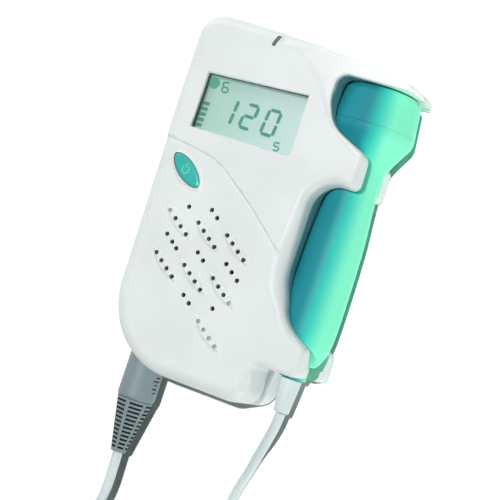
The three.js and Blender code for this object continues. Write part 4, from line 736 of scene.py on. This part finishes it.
def probe_profile(margin):
    """The probe's outline from its face to the foot of its tail, as radius and height, grown by a margin."""
    fullness = [(0, 0.1), (0.3, 0.78), (0.62, 1), (0.88, 0.97), (1, 0.62)]
    outline = [
        (FACE_R - FACE_CHAMFER, PROBE_TOP + margin), (FACE_R, PROBE_TOP - FACE_CHAMFER + margin),
        (HEAD_R, HEAD_BASE + 1.8), (HEAD_BASE_R, HEAD_BASE),
        (share(HEAD_R, WAIST_R, 0.72), share(HEAD_BASE, WAIST_TOP, 0.66)),
        (WAIST_R + 0.3, WAIST_TOP), (WAIST_R, share(WAIST_TOP, WAIST_FOOT, 0.5)),
        *[(share(WAIST_R, GRIP_R, out), share(WAIST_FOOT, GRIP_FOOT, down)) for down, out in fullness],
        (share(GRIP_R, TAIL_R, 0.6), share(GRIP_FOOT, TAIL_FOOT, 0.68)), (TAIL_R, TAIL_FOOT - margin),
    ]
    return [(r + margin, y) for r, y in outline]


def cradle_room():
    """Room for the probe in its cradle, open toward the right."""
    neck_r = NECK_R + CRADLE_GAP
    profile = [
        *probe_profile(CRADLE_GAP), (neck_r, TAIL_FOOT - CRADLE_GAP - 0.02), (neck_r, low_foot - OVERRUN),
    ]
    right = PROBE_X + CRADLE_REACH
    rings = []
    for r, y in profile:
        half = [(PROBE_X + r * cos(a), y, PROBE_Z + r * sin(a)) for a in (pi / 2 + pi * k / 36 for k in range(37))]
        rings.append([*half, (right, y, PROBE_Z - r), (right, y, PROBE_Z + r)])
    return loft(rings)


def cradle_shell():
    """What stays solid round the cradle's room."""
    profile = probe_profile(CRADLE_GAP + CRADLE_WALL)
    return turned([(0, profile[0][1]), *profile, (0, profile[-1][1])], PROBE_X, PROBE_Z)


def leaned(cx, cy, px, py):
    """A point beside a centre, turned to the slant of the leaves and the power button."""
    return cx + px * cos(LEAF_ANGLE) - py * sin(LEAF_ANGLE), cy + px * sin(LEAF_ANGLE) + py * cos(LEAF_ANGLE)


def leaf(cx, cy, length, width, steps=16):
    """Outline of a lens with two pointed ends."""
    across = (length * length + width * width) / (4 * width)
    half = asin(min(length / 2 / across, 1))
    points = []
    for side in (1, -1):
        for i in range(steps):
            t = -half + 2 * half * i / steps
            px, py = across * sin(t) * side, (across * cos(t) - (across - width / 2)) * side
            points.append(leaned(cx, cy, px, py))
    return points


def oval(cx, cy, length, width, power=1.85, steps=72):
    """Outline of the power button, between a lens and an ellipse."""
    points = []
    for i in range(steps):
        t = i / steps * 2 * pi
        px = length / 2 * copysign(abs(cos(t)) ** (2 / power), cos(t))
        py = width / 2 * copysign(abs(sin(t)) ** (2 / power), sin(t))
        points.append(leaned(cx, cy, px, py))
    return points


def pod(cx, cy, length, width, height, slope, steps=7):
    """A raised leaf with soft sides."""
    rings = [[(x, y, FACE_Z - 0.6) for x, y in leaf(cx, cy, length, width)]]
    for k in range(steps + 1):
        t = k / steps
        ring = leaf(cx, cy, length - 3 * slope * t, width - 2 * slope * t)
        rings.append([(x, y, FACE_Z - 0.01 + height * ease(t)) for x, y in ring])
    return loft(rings)


def lcd_corners(left, right, foot, top):
    """Corners of the display opening, grown by so much on each side."""
    x0, x1 = LCD_X - LCD_W / 2 - left, LCD_X + LCD_W / 2 + right
    return [
        (x0, LCD_Y - LCD_H / 2 - foot + LCD_FLARE / 2), (x1, LCD_Y - LCD_H / 2 - foot - LCD_FLARE / 2),
        (x1, LCD_Y + LCD_H / 2 + top + LCD_FLARE / 2), (x0, LCD_Y + LCD_H / 2 + top - LCD_FLARE / 2),
    ]


def slit(width, steps=10):
    """Outline of the indicator's curved slit."""
    foot_x, foot_y, sway, length = -12, HALF_L - 6.7 - width / 2, 1.2, 2.7 + width
    middle = []
    for i in range(steps + 1):
        t = i / steps
        middle.append((foot_x + sway * t * t * (2 - t), foot_y + length * t))
    left, right = ([(x + side * width / 2, y) for x, y in middle] for side in (-1, 1))
    return right + left[::-1]


# The speaker's leaves by column and row, and which of the four places along each are open holes
leaf_cells = [(0, 0), (1, 0), (2, 0), (0, 1), (1, 1), (2, 1), (2, 2)]
open_holes = [(1, 2, 3), (0, 1, 2, 3), (0, 1, 2, 3), (0, 1, 2, 3), (0, 1, 2, 3), (0, 1, 2), ()]
# Holes between the leaves: beside which leaf, how far across and up in leaf spacings, and places along the slant
plain_holes = [
    ((0, 0), 0.16, 0.41, (0,)), ((1, 0), 0.02, 0.5, (-0.5, 0.5)), ((0, 0), 0, -0.46, (-1, 0, 0.8)),
    ((1, 0), 0.02, -0.5, (-0.5, 0.5)), ((2, 0), 0.12, -0.54, (-1, 0, 1)), ((1, 1), 0.02, -0.5, (-0.5, 0.5)),
    ((2, 1), -0.09, -0.43, (0,)),
]


def leaf_centre(cell):
    column, row = cell
    return FIRST_LEAF_X + column * LEAF_COL, FIRST_LEAF_Y - row * LEAF_ROW - column * LEAF_FALL


def along(x, y, n):
    """The place n hole spacings along the slant of the leaves."""
    return leaned(x, y, HOLE_PITCH * n, 0)


holes, dimples = [], []
for cell, numbers in zip(leaf_cells, open_holes):
    for n in range(4):
        (holes if n in numbers else dimples).append(along(*leaf_centre(cell), n - 1.5))
for cell, across, up, numbers in plain_holes:
    x, y = leaf_centre(cell)
    holes.extend(along(x + across * LEAF_COL, y + up * LEAF_ROW, n) for n in numbers)

# Screws, side buttons, volume wheel, headphone socket, plug and battery bay
screw_places = [(-37.2, 59.2), (inner_right - 6.6, 59.2), (-36.9, -36.2), (heel_right - 5.0, -59.2)]
BOSS_R, SCREW_BORE_R, SCREW_BORE_TOP, SCREW_HEAD_R, SCREW_HEAD_TOP = 3.3, 1.5, 24.1, 2.7, 5.1
KEY_Y, KEY_Z, KEY_L, KEY_H = 8.0, 23.4, 9.0, 4.0
WHEEL_R, WHEEL_T, WHEEL_Y, SCOOP_R, SCOOP_DEPTH = 8.4, 3.6, 30.0, 22, 1.3
BOARD_Z, CONTROL_T = 19, 2.4
wheel_x, wheel_z = -HALF_W + WHEEL_R + 0.35, BOARD_Z - CLEAR - CONTROL_T - CLEAR - WHEEL_T / 2
JACK_X, JACK_Z, JACK_R, JACK_FOOT = -29.0, 24.0, 3.3, 61.5
PLUG_X, PLUG_R, PLUG_GAP, PLUG_ROOM_TOP = -29.0, 7.3, 0.7, -54
PLUG_END, PLUG_SHOULDER, PLUG_TIP, PLUG_TIP_R = -81, -56, -48, 4.4
BAY_X, BAY_FOOT, BAY_RIB, BAY_FLOOR, DOOR_LIP, DOOR_T = -4.9, -61.6, 1.4, 3.4, 1.5, 1.5
CELL_R, CELL_L, CELL_NUB_L, CELL_Z, SPRING_L, CONTACT_T = 7.15, 49.2, 1.3, 9.6, 3.6, 0.5
bay_half = 2 * CELL_R + 1.5 * CLEAR
bay_top = BAY_FOOT + CELL_L + CELL_NUB_L + SPRING_L + 2 * CONTACT_T + 4 * CLEAR
door_half = bay_half + DOOR_LIP

body_outline = rounded_outline(body_corners)
inner_outline = rounded_outline(inner_corners, pi / 24)


def display_opening():
    """Room for the display window, wide behind the face for its rim and eased at the face."""
    rim, plain, eased = (LCD_RIM,) * 4, (0,) * 4, (0.35, 0.35, 0.35, 0.5)
    heights = [
        (ROOF_Z - OVERRUN, rim), (BODY_T - 1.3, rim), (BODY_T - 1.3, plain), (BODY_T - 0.35, plain),
        (BODY_T + 0.05, eased), (BODY_T + OVERRUN, eased),
    ]
    return loft([[(x, y, z) for x, y in lcd_corners(*grow)] for z, grow in heights])


def button_ring(z, grow):
    """The power button's outline at a height, with that much added to its length and width."""
    return [(x, y, z) for x, y in oval(*BUTTON, BUTTON_L + grow, BUTTON_W + grow)]


def button_opening():
    """Room for the power button, eased at the face."""
    eased = CLEAR + 0.5
    heights = [(ROOF_Z - OVERRUN, CLEAR), (FACE_Z + 0.2, CLEAR), (FACE_Z + 0.75, eased), (BODY_T + OVERRUN, eased)]
    return loft([button_ring(z, grow) for z, grow in heights])


def key_room(y):
    """Room for a side button through the left wall."""
    half_l, half_h = KEY_L / 2 + CLEAR, KEY_H / 2 + CLEAR
    return block(-HALF_W - OVERRUN, -HALF_W + 5, y - half_l, y + half_l, KEY_Z - half_h, KEY_Z + half_h)


def plug_room():
    return rod(PLUG_X, PROBE_Z, PLUG_R + PLUG_GAP, -HALF_L - OVERRUN, PLUG_ROOM_TOP, 64)


def front_housing():
    """The front shell, whose blind speaker holes take its second finish, a painted shade."""
    shell = rounded_plate(finer(body_outline), SEAM_Z + SEAM / 2, BODY_T, level, lip=BODY_T)
    slopes = [sloped_cut(brim, brim_rest, BRIM_SLOPE, 7), sloped_cut(crease, crease_rest, CREASE_SLOPE, 3)]
    shell = worked(shell, slopes)
    pods = [pod(*leaf_centre(cell), length=18.6, width=5.4, height=0.55, slope=1.5) for cell in leaf_cells]
    pods.append(pod(*BUTTON, length=21.6, width=11.2, height=0.6, slope=2))
    shell = worked(shell, pods, "UNION")
    hollow = worked(rounded_plate(inner_outline, SEAM_Z - OVERRUN, ROOF_Z, steps=4), [cradle_shell()])
    shell = worked(shell, [hollow])
    shell = worked(shell, [cradle_room()])
    bosses = [cylinder(x, y, BOSS_R, SEAM_Z + SEAM / 2, ROOF_Z + 1) for x, y in screw_places]
    shell = worked(shell, bosses, "UNION")
    tools = [display_opening(), button_opening(), prism(slit(SLIT_W), BODY_T - SLIT_DEPTH, BODY_T + OVERRUN)]
    tools += [cylinder(x, y, HOLE_R, ROOF_Z - OVERRUN, BODY_T + OVERRUN, 24) for x, y in holes]
    tools += [cylinder(x, y, HOLE_R * 0.85, FACE_Z - 0.1, BODY_T + OVERRUN, 24, HOLE_R * 1.5) for x, y in dimples]
    tools += [plug_room(), key_room(KEY_Y), key_room(-KEY_Y)]
    tools.append(rod(JACK_X, JACK_Z, JACK_R, JACK_FOOT, HALF_L + OVERRUN))
    tools += [cylinder(x, y, SCREW_BORE_R, SEAM_Z - OVERRUN, SCREW_BORE_TOP, 20) for x, y in screw_places]
    shell = worked(shell, tools)
    # Painted shade: the floors of the blind holes take the grey hole_shade finish.
    for face in shell.faces:
        at = face.calc_center_median()
        near_face = FACE_Z - 0.2 < at.z < FACE_Z + 0.45
        if near_face and any(hypot(at.x - x, at.y - y) < HOLE_R * 0.95 for x, y in dimples):
            face.material_index = 1
    return shell


def bay_block(half, foot, top, z0, z1):
    """A block about the middle of the battery bay."""
    return block(BAY_X - half, BAY_X + half, foot, top, z0, z1)


def rear_housing():
    """The rear shell with its battery bay, the door's track, the thumb scoop and the wheel's room."""
    shell = rounded_plate(body_outline, SEAM_Z - SEAM / 2, 0)
    hollow = worked(rounded_plate(inner_outline, SEAM_Z + OVERRUN, WALL, steps=4), [cradle_shell()])
    shell = worked(shell, [hollow])
    shell = worked(shell, [cradle_room()])
    rib = bay_block(bay_half + BAY_RIB, BAY_FOOT - BAY_RIB, bay_top + BAY_RIB, 1, CELL_Z + CELL_R / 2)
    bed = bay_block(door_half + WALL, BAY_FOOT - WALL, bay_top + DOOR_LIP + WALL, 1.05, BAY_FLOOR)
    bosses = [cylinder(x, y, BOSS_R, 1.1, SEAM_Z - SEAM / 2) for x, y in screw_places]
    shell = worked(shell, [rib], "UNION")
    shell = worked(shell, [bed], "UNION")
    shell = worked(shell, bosses, "UNION")
    shell = worked(shell, [bay_block(bay_half, BAY_FOOT, bay_top, -OVERRUN, SEAM_Z + OVERRUN)])
    track_top = bay_top + DOOR_LIP + CLEAR
    shell = worked(shell, [bay_block(door_half + CLEAR, -HALF_L - OVERRUN, track_top, -OVERRUN, DOOR_T + CLEAR)])
    bores = [cylinder(x, y, SCREW_BORE_R, 2, SEAM_Z + OVERRUN, 20) for x, y in screw_places]
    shell = worked(shell, bores)
    tools = [cylinder(x, y, SCREW_HEAD_R, -OVERRUN, SCREW_HEAD_TOP) for x, y in screw_places]
    # The wall over the probe's head leans in toward the back.
    outer = top_right + OVERRUN
    wedge = [(top_right, SEAM_Z), (top_right - 2.6, -OVERRUN), (outer, -OVERRUN), (outer, SEAM_Z)]
    tools.append(loft([[(x, y, z) for x, z in wedge] for y in (pocket_top - 4, HALF_L)]))
    tools.append(plug_room())
    shell = worked(shell, tools)
    scoop = cylinder(-HALF_W - SCOOP_R + SCOOP_DEPTH, WHEEL_Y, SCOOP_R, wheel_z - WHEEL_T, SEAM_Z, 160)
    shell = worked(shell, [scoop])
    half = WHEEL_T / 2 + CLEAR
    return worked(shell, [cylinder(wheel_x, WHEEL_Y, WHEEL_R + 0.65, wheel_z - half, wheel_z + half, 64)])


piece("front_shell", front_housing(), [shell_plastic, hole_shade], "monitor", ("front_housing",))
piece("rear_shell", rear_housing(), back_plastic, "monitor", ("rear_housing",))


def rounded_profile(corners, steps=4):
    """A profile line with its inner corners rounded: each is radius, height and how far the rounding reaches."""
    made = [corners[0][:2]]
    for before, (r, y, reach), after in zip(corners, corners[1:], corners[2:]):
        at = Vector((r, y))
        a, b = Vector(before[:2]) - at, Vector(after[:2]) - at
        size = min(reach, a.length * 0.48, b.length * 0.48)
        if size < 1e-3:
            made.append((r, y))
            continue
        start, end = at + a.normalized() * size, at + b.normalized() * size
        for k in range(steps + 1):
            t = k / steps
            made.append(tuple(start * (1 - t) ** 2 + at * 2 * t * (1 - t) + end * t * t))
    return made + [corners[-1][:2]]


def probe_parts():
    """Head cap, handle, tail collar and strain relief of the probe, all turned."""
    face, rim, head, base, shoulder, waist, *grip, taper, tail = probe_profile(0)
    inner_r, cap_wall, lap, core_r = 11, 1.7, 1.4, 3.4
    side = share(rim[0], head[0], (rim[1] - CAP_FOOT) / (rim[1] - head[1]))
    foot = CAP_FOOT + 0.02
    cap = rounded_profile([
        (0, PROBE_TOP, 0), (*face, 0.7), (*rim, 0.8), (side, foot, 0.1), (side - lap, foot, 0), (inner_r, foot, 0),
    ])
    cap = [*cap, (inner_r, PROBE_TOP - cap_wall), (0, PROBE_TOP - cap_wall)]
    piece("probe_head_cap", turned(cap, PROBE_X, PROBE_Z, 96), teal_with_painted_light, "probe", ("probe_cap",))

    top, floor_y, core_y = CAP_FOOT - 0.02, 37.5, TAIL_FOOT + 2
    grip = [(v.x, v.y, 0) for v in smooth_line([(r, y, 0) for r, y in grip], 6)]
    handle = rounded_profile([
        (inner_r, top, 0), (side - lap, top, 0), (side, top, 0.1), (*head, 0.8), (*base, 0.9), (*shoulder, 6),
        (*waist, 5), *grip, (*taper, 1.6), (*tail, 0.6), (core_r, TAIL_FOOT, 0),
    ])
    handle = [(0, floor_y), (inner_r, floor_y), *handle, (core_r, core_y), (0, core_y)]
    piece("probe_grip", turned(handle, PROBE_X, PROBE_Z, 96), teal_with_painted_light, "probe", ("probe_handle",))

    top = TAIL_FOOT - CLEAR
    collar = rounded_profile([(CABLE_R, top, 0), (NECK_R, top, 0.2), (NECK_R, NECK_FOOT, 0.5), (CABLE_R, NECK_FOOT, 0)])
    collar = turned([(0, top), *collar, (0, NECK_FOOT)], PROBE_X, PROBE_Z, 64)
    piece("probe_neck", collar, teal_with_painted_light, "probe", ("probe_tail_collar",))

    top, foot = NECK_FOOT - CLEAR, LEAD_END_Y
    relief = rounded_profile([(0, top, 0), (4, top, 0.5), (3.5, (top + foot) / 2, 3), (2.9, foot, 0.5), (0, foot, 0)])
    relief = turned(relief, PROBE_X, PROBE_Z, 64)
    piece("probe_lead_sleeve", relief, cable_skin, "probe", ("probe_strain_relief",))


probe_parts()


def power_mark(top):
    """The broken ring and the bar that stand for power, a little above the button's rim."""
    x, y = BUTTON[0] - 0.4, BUTTON[1] + 0.2
    turns = [radians(130 + 280 * k / 24) for k in range(25)]
    outer, inner = ([(x + r * cos(a), y + r * sin(a)) for a in turns] for r in (1.75, 1.25))
    bar = [(x - 0.25, y + 0.5), (x + 0.25, y + 0.5), (x + 0.25, y + 2.1), (x - 0.25, y + 2.1)]
    return joined([prism(shape, top - 0.2, top + 0.28) for shape in (outer + inner[::-1], bar)])


def power_button():
    """The power button with its flange, soft top and stem, and the mark on it."""
    top, flange, flange_top, flange_foot = FACE_Z + 0.25, 2, ROOF_Z - CLEAR, ROOF_Z - CLEAR - 1
    rings = [button_ring(flange_foot, flange), button_ring(flange_top, flange), button_ring(flange_top, 0)]
    for rise, narrower in ((-0.5, 0), (-0.35, 0.08), (-0.18, 0.3), (-0.06, 0.65), (0, 1.2), (0.12, 2.6), (0.2, 4.2)):
        rings.append(button_ring(top + rise, -narrower))
    stem_r, stem_foot = 1.6, 24.9
    cap = worked(loft(rings), [cylinder(*BUTTON, stem_r, stem_foot, ROOF_Z - 1)], "UNION")
    piece("power_key", cap, key_plastic, "power_button", ("power_button",), angle=40)
    piece("power_mark", power_mark(top), symbol_paint, "power_button")


power_button()

# What the display shows, drawn on the plane of its panel
PANEL_Z, FIGURE_FOOT, FIGURE_TOP = 31.6, 31.58, 31.7


def on_panel(across, down):
    """The point of the panel that shows at a place in the picture, in pixels from its top left."""
    right, up, back = VIEW_AXES
    half = PICTURE_WIDTH / 2
    beside, above = across - half + SHIFT_X * PICTURE_WIDTH, half - down + SHIFT_Y * PICTURE_WIDTH
    ray = right * beside + up * above - back * (LENS / FILM_WIDTH * PICTURE_WIDTH)
    at = VIEW_PLACE + ray * ((PANEL_Z - VIEW_PLACE.z) / ray.z)
    return at.x, at.y


def bar_shape(a, b, width, cut):
    """A six-sided stroke from one point to another."""
    a, b = Vector(a), Vector(b)
    d = (b - a).normalized()
    n = Vector((-d.y, d.x)) * width / 2
    c = d * width * cut
    return [tuple(v) for v in (a, a + c + n, b - c + n, b, b - c - n, a + c - n)]


def digit(top_left, top_right, foot_left, foot_right, lit, width):
    """Seven strokes between four corners; lit names those that show."""
    tl, tr, fl, fr = (Vector(p) for p in (top_left, top_right, foot_left, foot_right))
    ml, mr = (tl + fl) / 2, (tr + fr) / 2
    ends = {"a": (tl, tr), "b": (tr, mr), "c": (mr, fr), "d": (fl, fr), "e": (ml, fl), "f": (tl, ml), "g": (ml, mr)}
    strokes = []
    for name in lit:
        a, b = ends[name]
        gap = (b - a).normalized() * width * 0.14
        strokes.append(bar_shape(a + gap, b - gap, width, 0.42))
    return strokes


def segments():
    """A large 120, two small figures, and the five bars of a level."""
    at, large, small = on_panel, 1.3, 0.6
    strokes = [
        bar_shape(at(238.9, 101.0), at(234.2, 112.0), large, 0.3),
        bar_shape(at(233.7, 113.2), at(229.0, 124.2), large, 0.3),
        *digit(at(248.9, 104.3), at(259.5, 107.2), at(238.5, 126.3), at(248.9, 130.0), "abged", large),
        *digit(at(270.4, 109.6), at(281.8, 112.9), at(259.9, 132.9), at(271.6, 136.6), "abcdef", large),
        *digit(at(224.3, 81.9), at(229.9, 83.4), at(221.6, 91.6), at(227.0, 93.1), "acdefg", small),
        *digit(at(274.8, 142.2), at(280.2, 143.6), at(272.4, 149.8), at(277.6, 151.2), "acdfg", small),
    ]
    for i in range(5):
        x, y = 197.9 + i * 2.05, 124.4 - i * 5.25
        strokes.append([at(x - 4.2, y + 0.7), at(x + 3.1, y + 2.6), at(x + 4.2, y - 0.7), at(x - 3.1, y - 2.6)])
    return joined([prism(stroke, FIGURE_FOOT, FIGURE_TOP) for stroke in strokes])


piece("display_figures", segments(), segment_finish, "monitor")
dot = cylinder(*on_panel(214.4, 83), 2.3, FIGURE_FOOT, FIGURE_TOP, 40)
piece("display_dot", dot, dot_finish, "monitor")

# The plug, its sleeve and the tie
SLEEVE_TOP, SLEEVE_L, SLEEVE_R, SLEEVE_TIP_R = PLUG_END - 0.06, 20.84, 6.9, 2.8
SLEEVE_RIBS, SLEEVE_STRAPS = 12, 6


def plug_collar():
    """The plug, with five short marks cut into its collar whose insides take the second finish, a painted shadow."""
    body = rounded_profile([
        (0, PLUG_END, 0), (PLUG_R - 0.6, PLUG_END, 0.3), (PLUG_R, PLUG_END + 0.8, 0.4), (PLUG_R, PLUG_SHOULDER, 0.4),
        (PLUG_TIP_R, PLUG_SHOULDER, 0), (PLUG_TIP_R, PLUG_TIP, 0.5), (0, PLUG_TIP, 0),
    ])
    marks = []
    for k, (first, last) in enumerate([(0, 14), (-2, 20), (0, 16), (-4, 24), (0, 18)]):
        foot = PLUG_END + 4.2 + k * 1.5
        arc = [radians(share(first, last, i / 6)) for i in range(7)]
        ring = [(PLUG_R - 0.5, a) for a in arc] + [(PLUG_R + 1, a) for a in arc[::-1]]
        ring = [(PLUG_X + r * cos(a), PROBE_Z + r * sin(a)) for r, a in ring]
        marks.append(loft([[(x, y, z) for x, z in ring] for y in (foot, foot + 0.45)]))
    body = worked(turned(body, PLUG_X, PROBE_Z), marks)
    for face in body.faces:
        at = face.calc_center_median()
        if PLUG_END + 2 < at.y < PLUG_END + 11 and hypot(at.x - PLUG_X, at.z - PROBE_Z) < PLUG_R - 0.15:
            face.material_index = 1
    return piece("plug_collar", body, [plug_rubber, slot_shadow], "monitor", ("plug_body",))


def sleeve_radius(y):
    return share(SLEEVE_R, SLEEVE_TIP_R, (SLEEVE_TOP - y) / SLEEVE_L)


def strap(turn):
    """A narrowing strap down the length of the sleeve."""
    across, out = Vector((-sin(turn), 0, cos(turn))), Vector((cos(turn), 0, sin(turn)))
    rings = []
    for y, r, half in ((SLEEVE_TOP - 0.1, SLEEVE_R - 0.02, 0.8), (SLEEVE_TOP - SLEEVE_L + 0.1, SLEEVE_TIP_R, 0.4)):
        corners = ((0.5, -half), (r, -half), (r, half), (0.5, half))
        rings.append([Vector((PLUG_X, y, PROBE_Z)) + out * far + across * side for far, side in corners])
    return loft(rings)


def plug_sleeve():
    """The ribbed sleeve behind the plug, whose slots take the second finish, a painted shadow."""
    pitch, depth = SLEEVE_L / (SLEEVE_RIBS + 1), 1.3
    foot = SLEEVE_TOP - SLEEVE_L
    line = [(0, SLEEVE_TOP), (SLEEVE_R, SLEEVE_TOP)]
    for i in range(SLEEVE_RIBS):
        high = SLEEVE_TOP - (i + 0.6) * pitch
        low = high - pitch * 0.52
        bottom = sleeve_radius(high) - depth
        line += [(sleeve_radius(high), high), (bottom, high - 0.05), (bottom, low + 0.05), (sleeve_radius(low), low)]
    line += [(SLEEVE_TIP_R, foot), (0, foot)]
    straps = [strap(radians(22 + 360 / SLEEVE_STRAPS * k)) for k in range(SLEEVE_STRAPS)]
    sleeve = worked(turned(line, PLUG_X, PROBE_Z, 64), straps, "UNION")
    for face in sleeve.faces:
        at = face.calc_center_median()
        deep = hypot(at.x - PLUG_X, at.z - PROBE_Z) < sleeve_radius(at.y) - 0.3
        if deep and abs(face.normal.y) < 0.7 and foot + 0.4 < at.y < SLEEVE_TOP - 0.4:
            face.material_index = 1
    return piece("plug_sleeve", sleeve, [plug_rubber, slot_shadow], "monitor", ("plug_strain_relief",))


def tie():
    """The band that holds the coil together, at its foot."""
    half, wall = 4.5, 0.8
    x0, x1 = COIL_X - half, COIL_X + half
    y0 = COIL_Y - (coil_start + CABLE_R + CLEAR)
    y1 = COIL_Y - (coil_start - layer_turns * COIL_PITCH - CABLE_R - CLEAR)
    z0, z1 = COIL_LIFT - CLEAR, COIL_LIFT + 2 * CABLE_R + (COIL_LAYERS - 1) * COIL_PITCH + CLEAR
    outer = [(y0 - wall, z0 - wall), (y1 + wall, z0 - wall), (y1 + wall, z1 + wall), (y0 - wall, z1 + wall)]
    band = bevelled(loft([[(x, y, z) for y, z in outer] for x in (x0, x1)]), 0.7, 4)
    band = worked(band, [block(x0 - 2, x1 + 2, y0, y1, z0, z1)])
    return piece("lead_tie", band, tie_rubber, "monitor", ("cable_tie",))


held = [plug_collar(), plug_sleeve(), tie(), bpy.data.objects["probe_lead_sleeve"]]

# The other solids keep their shape and get a finish. Those not named here are of steel.
finishes = {
    "battery_door": back_plastic, "battery_1": cell_sleeve, "battery_2": cell_sleeve,
    "lcd_window": pane_finish, "lcd_panel": panel_finish, "lcd_backlight": shell_plastic, "lcd_frame": dark_plastic,
    "indicator_light_pipe": smoke_plastic, "mode_button": key_plastic, "record_button": key_plastic,
    "volume_wheel": dark_plastic, "volume_control": chip_case, "headphone_jack": chip_case, "probe_socket": chip_case,
    "power_switch": chip_case, "mode_switch": chip_case, "record_switch": chip_case,
    "main_board": board_lacquer, "probe_board": board_lacquer, "processor_chip": chip_case, "amplifier_chip": chip_case,
    "speaker_gasket": foam_rubber, "speaker_cone": cone_paper, "speaker_magnet": dark_plastic,
    "crystal_backing": dark_plastic, "transmit_crystal": crystal_silver, "receive_crystal": crystal_silver,
}
for name, node in nodes.items():
    node.data.materials.clear()
    node.data.materials.append(finishes.get(name, bright_steel).material)


# Floor, backdrop and light
def seen(tree):
    """1 for what the camera sees straight, in a reflection or through glass, and 0 for light that falls on things."""
    path = tree.node("ShaderNodeLightPath")
    return path["Is Camera Ray"] + path["Is Glossy Ray"] + path["Is Transmission Ray"]


def ground():
    """A wide floor that is paper near the part and plain white far from it."""
    bm = bmesh.new()
    bmesh.ops.create_grid(bm, x_segments=1, y_segments=1, size=3.0)
    made = bpy.data.objects.new("floor", mesh_of(bm, "floor"))
    bpy.context.scene.collection.objects.link(made)
    made.location = (0, 0, -0.0002)
    paper = Finish("paper").set(Base_Color=colour((204, 209, 207)), Roughness=0.9)
    tree = paper.tree
    away = tree.node("ShaderNodeVectorMath", {"operation": "LENGTH"}, {"Vector": paper.place})["Value"]
    white = tree.node("ShaderNodeEmission")[0]
    parts = {0: seen(tree) * (away.between(0.25, 0.9) * 0.98), 1: Socket(tree, paper.shader.outputs[0]), 2: white}
    tree.feed(tree.nodes["Material Output"].inputs["Surface"], tree.node("ShaderNodeMixShader", None, parts)[0])
    made.data.materials.append(paper.material)
    return made


floor = ground()


def lamp(name, place, target, size, power):
    """A round lamp that shines toward a target."""
    data = bpy.data.lights.new(name, "AREA")
    data.shape = "DISK"
    data.size = size
    data.energy = power
    made = bpy.data.objects.new(name, data)
    bpy.context.scene.collection.objects.link(made)
    made.location = place
    made.rotation_euler = (Vector(target) - Vector(place)).to_track_quat("-Z", "Y").to_euler()
    return made


def lit_only(light, state):
    """Limits a lamp to the floor, or to all but the floor."""
    limit = bpy.data.collections.new(light.name + "_limit")
    limit.objects.link(floor)
    limit.collection_objects[0].light_linking.link_state = state
    light.light_linking.receiver_collection = limit


lit_only(lamp("key", (-0.02, 0.09, 1.25), (0, 0, 0), 0.05, 10.7), "EXCLUDE")
lit_only(lamp("side", (0.95, -0.95, 0.13), (0, 0, 0.02), 0.12, 6.4), "EXCLUDE")
lit_only(lamp("left", (-0.65, 0.85, 0.6), (0, 0, 0.02), 0.6, 5.0), "EXCLUDE")
lit_only(lamp("floor_key", (0.355, 0.095, 1.2), (0, 0, 0), 0.03, 29.5), "INCLUDE")

world = bpy.data.worlds.new("studio")
bpy.context.scene.world = world
sky = Tree(world)
backdrop = sky.nodes["Background"]
sky.feed(backdrop.inputs["Color"], (0.84, 1, 0.97, 1))
sky.feed(backdrop.inputs["Strength"], seen(sky) * 0.93 + 0.07)
bpy.context.scene.view_settings.view_transform = "Standard"
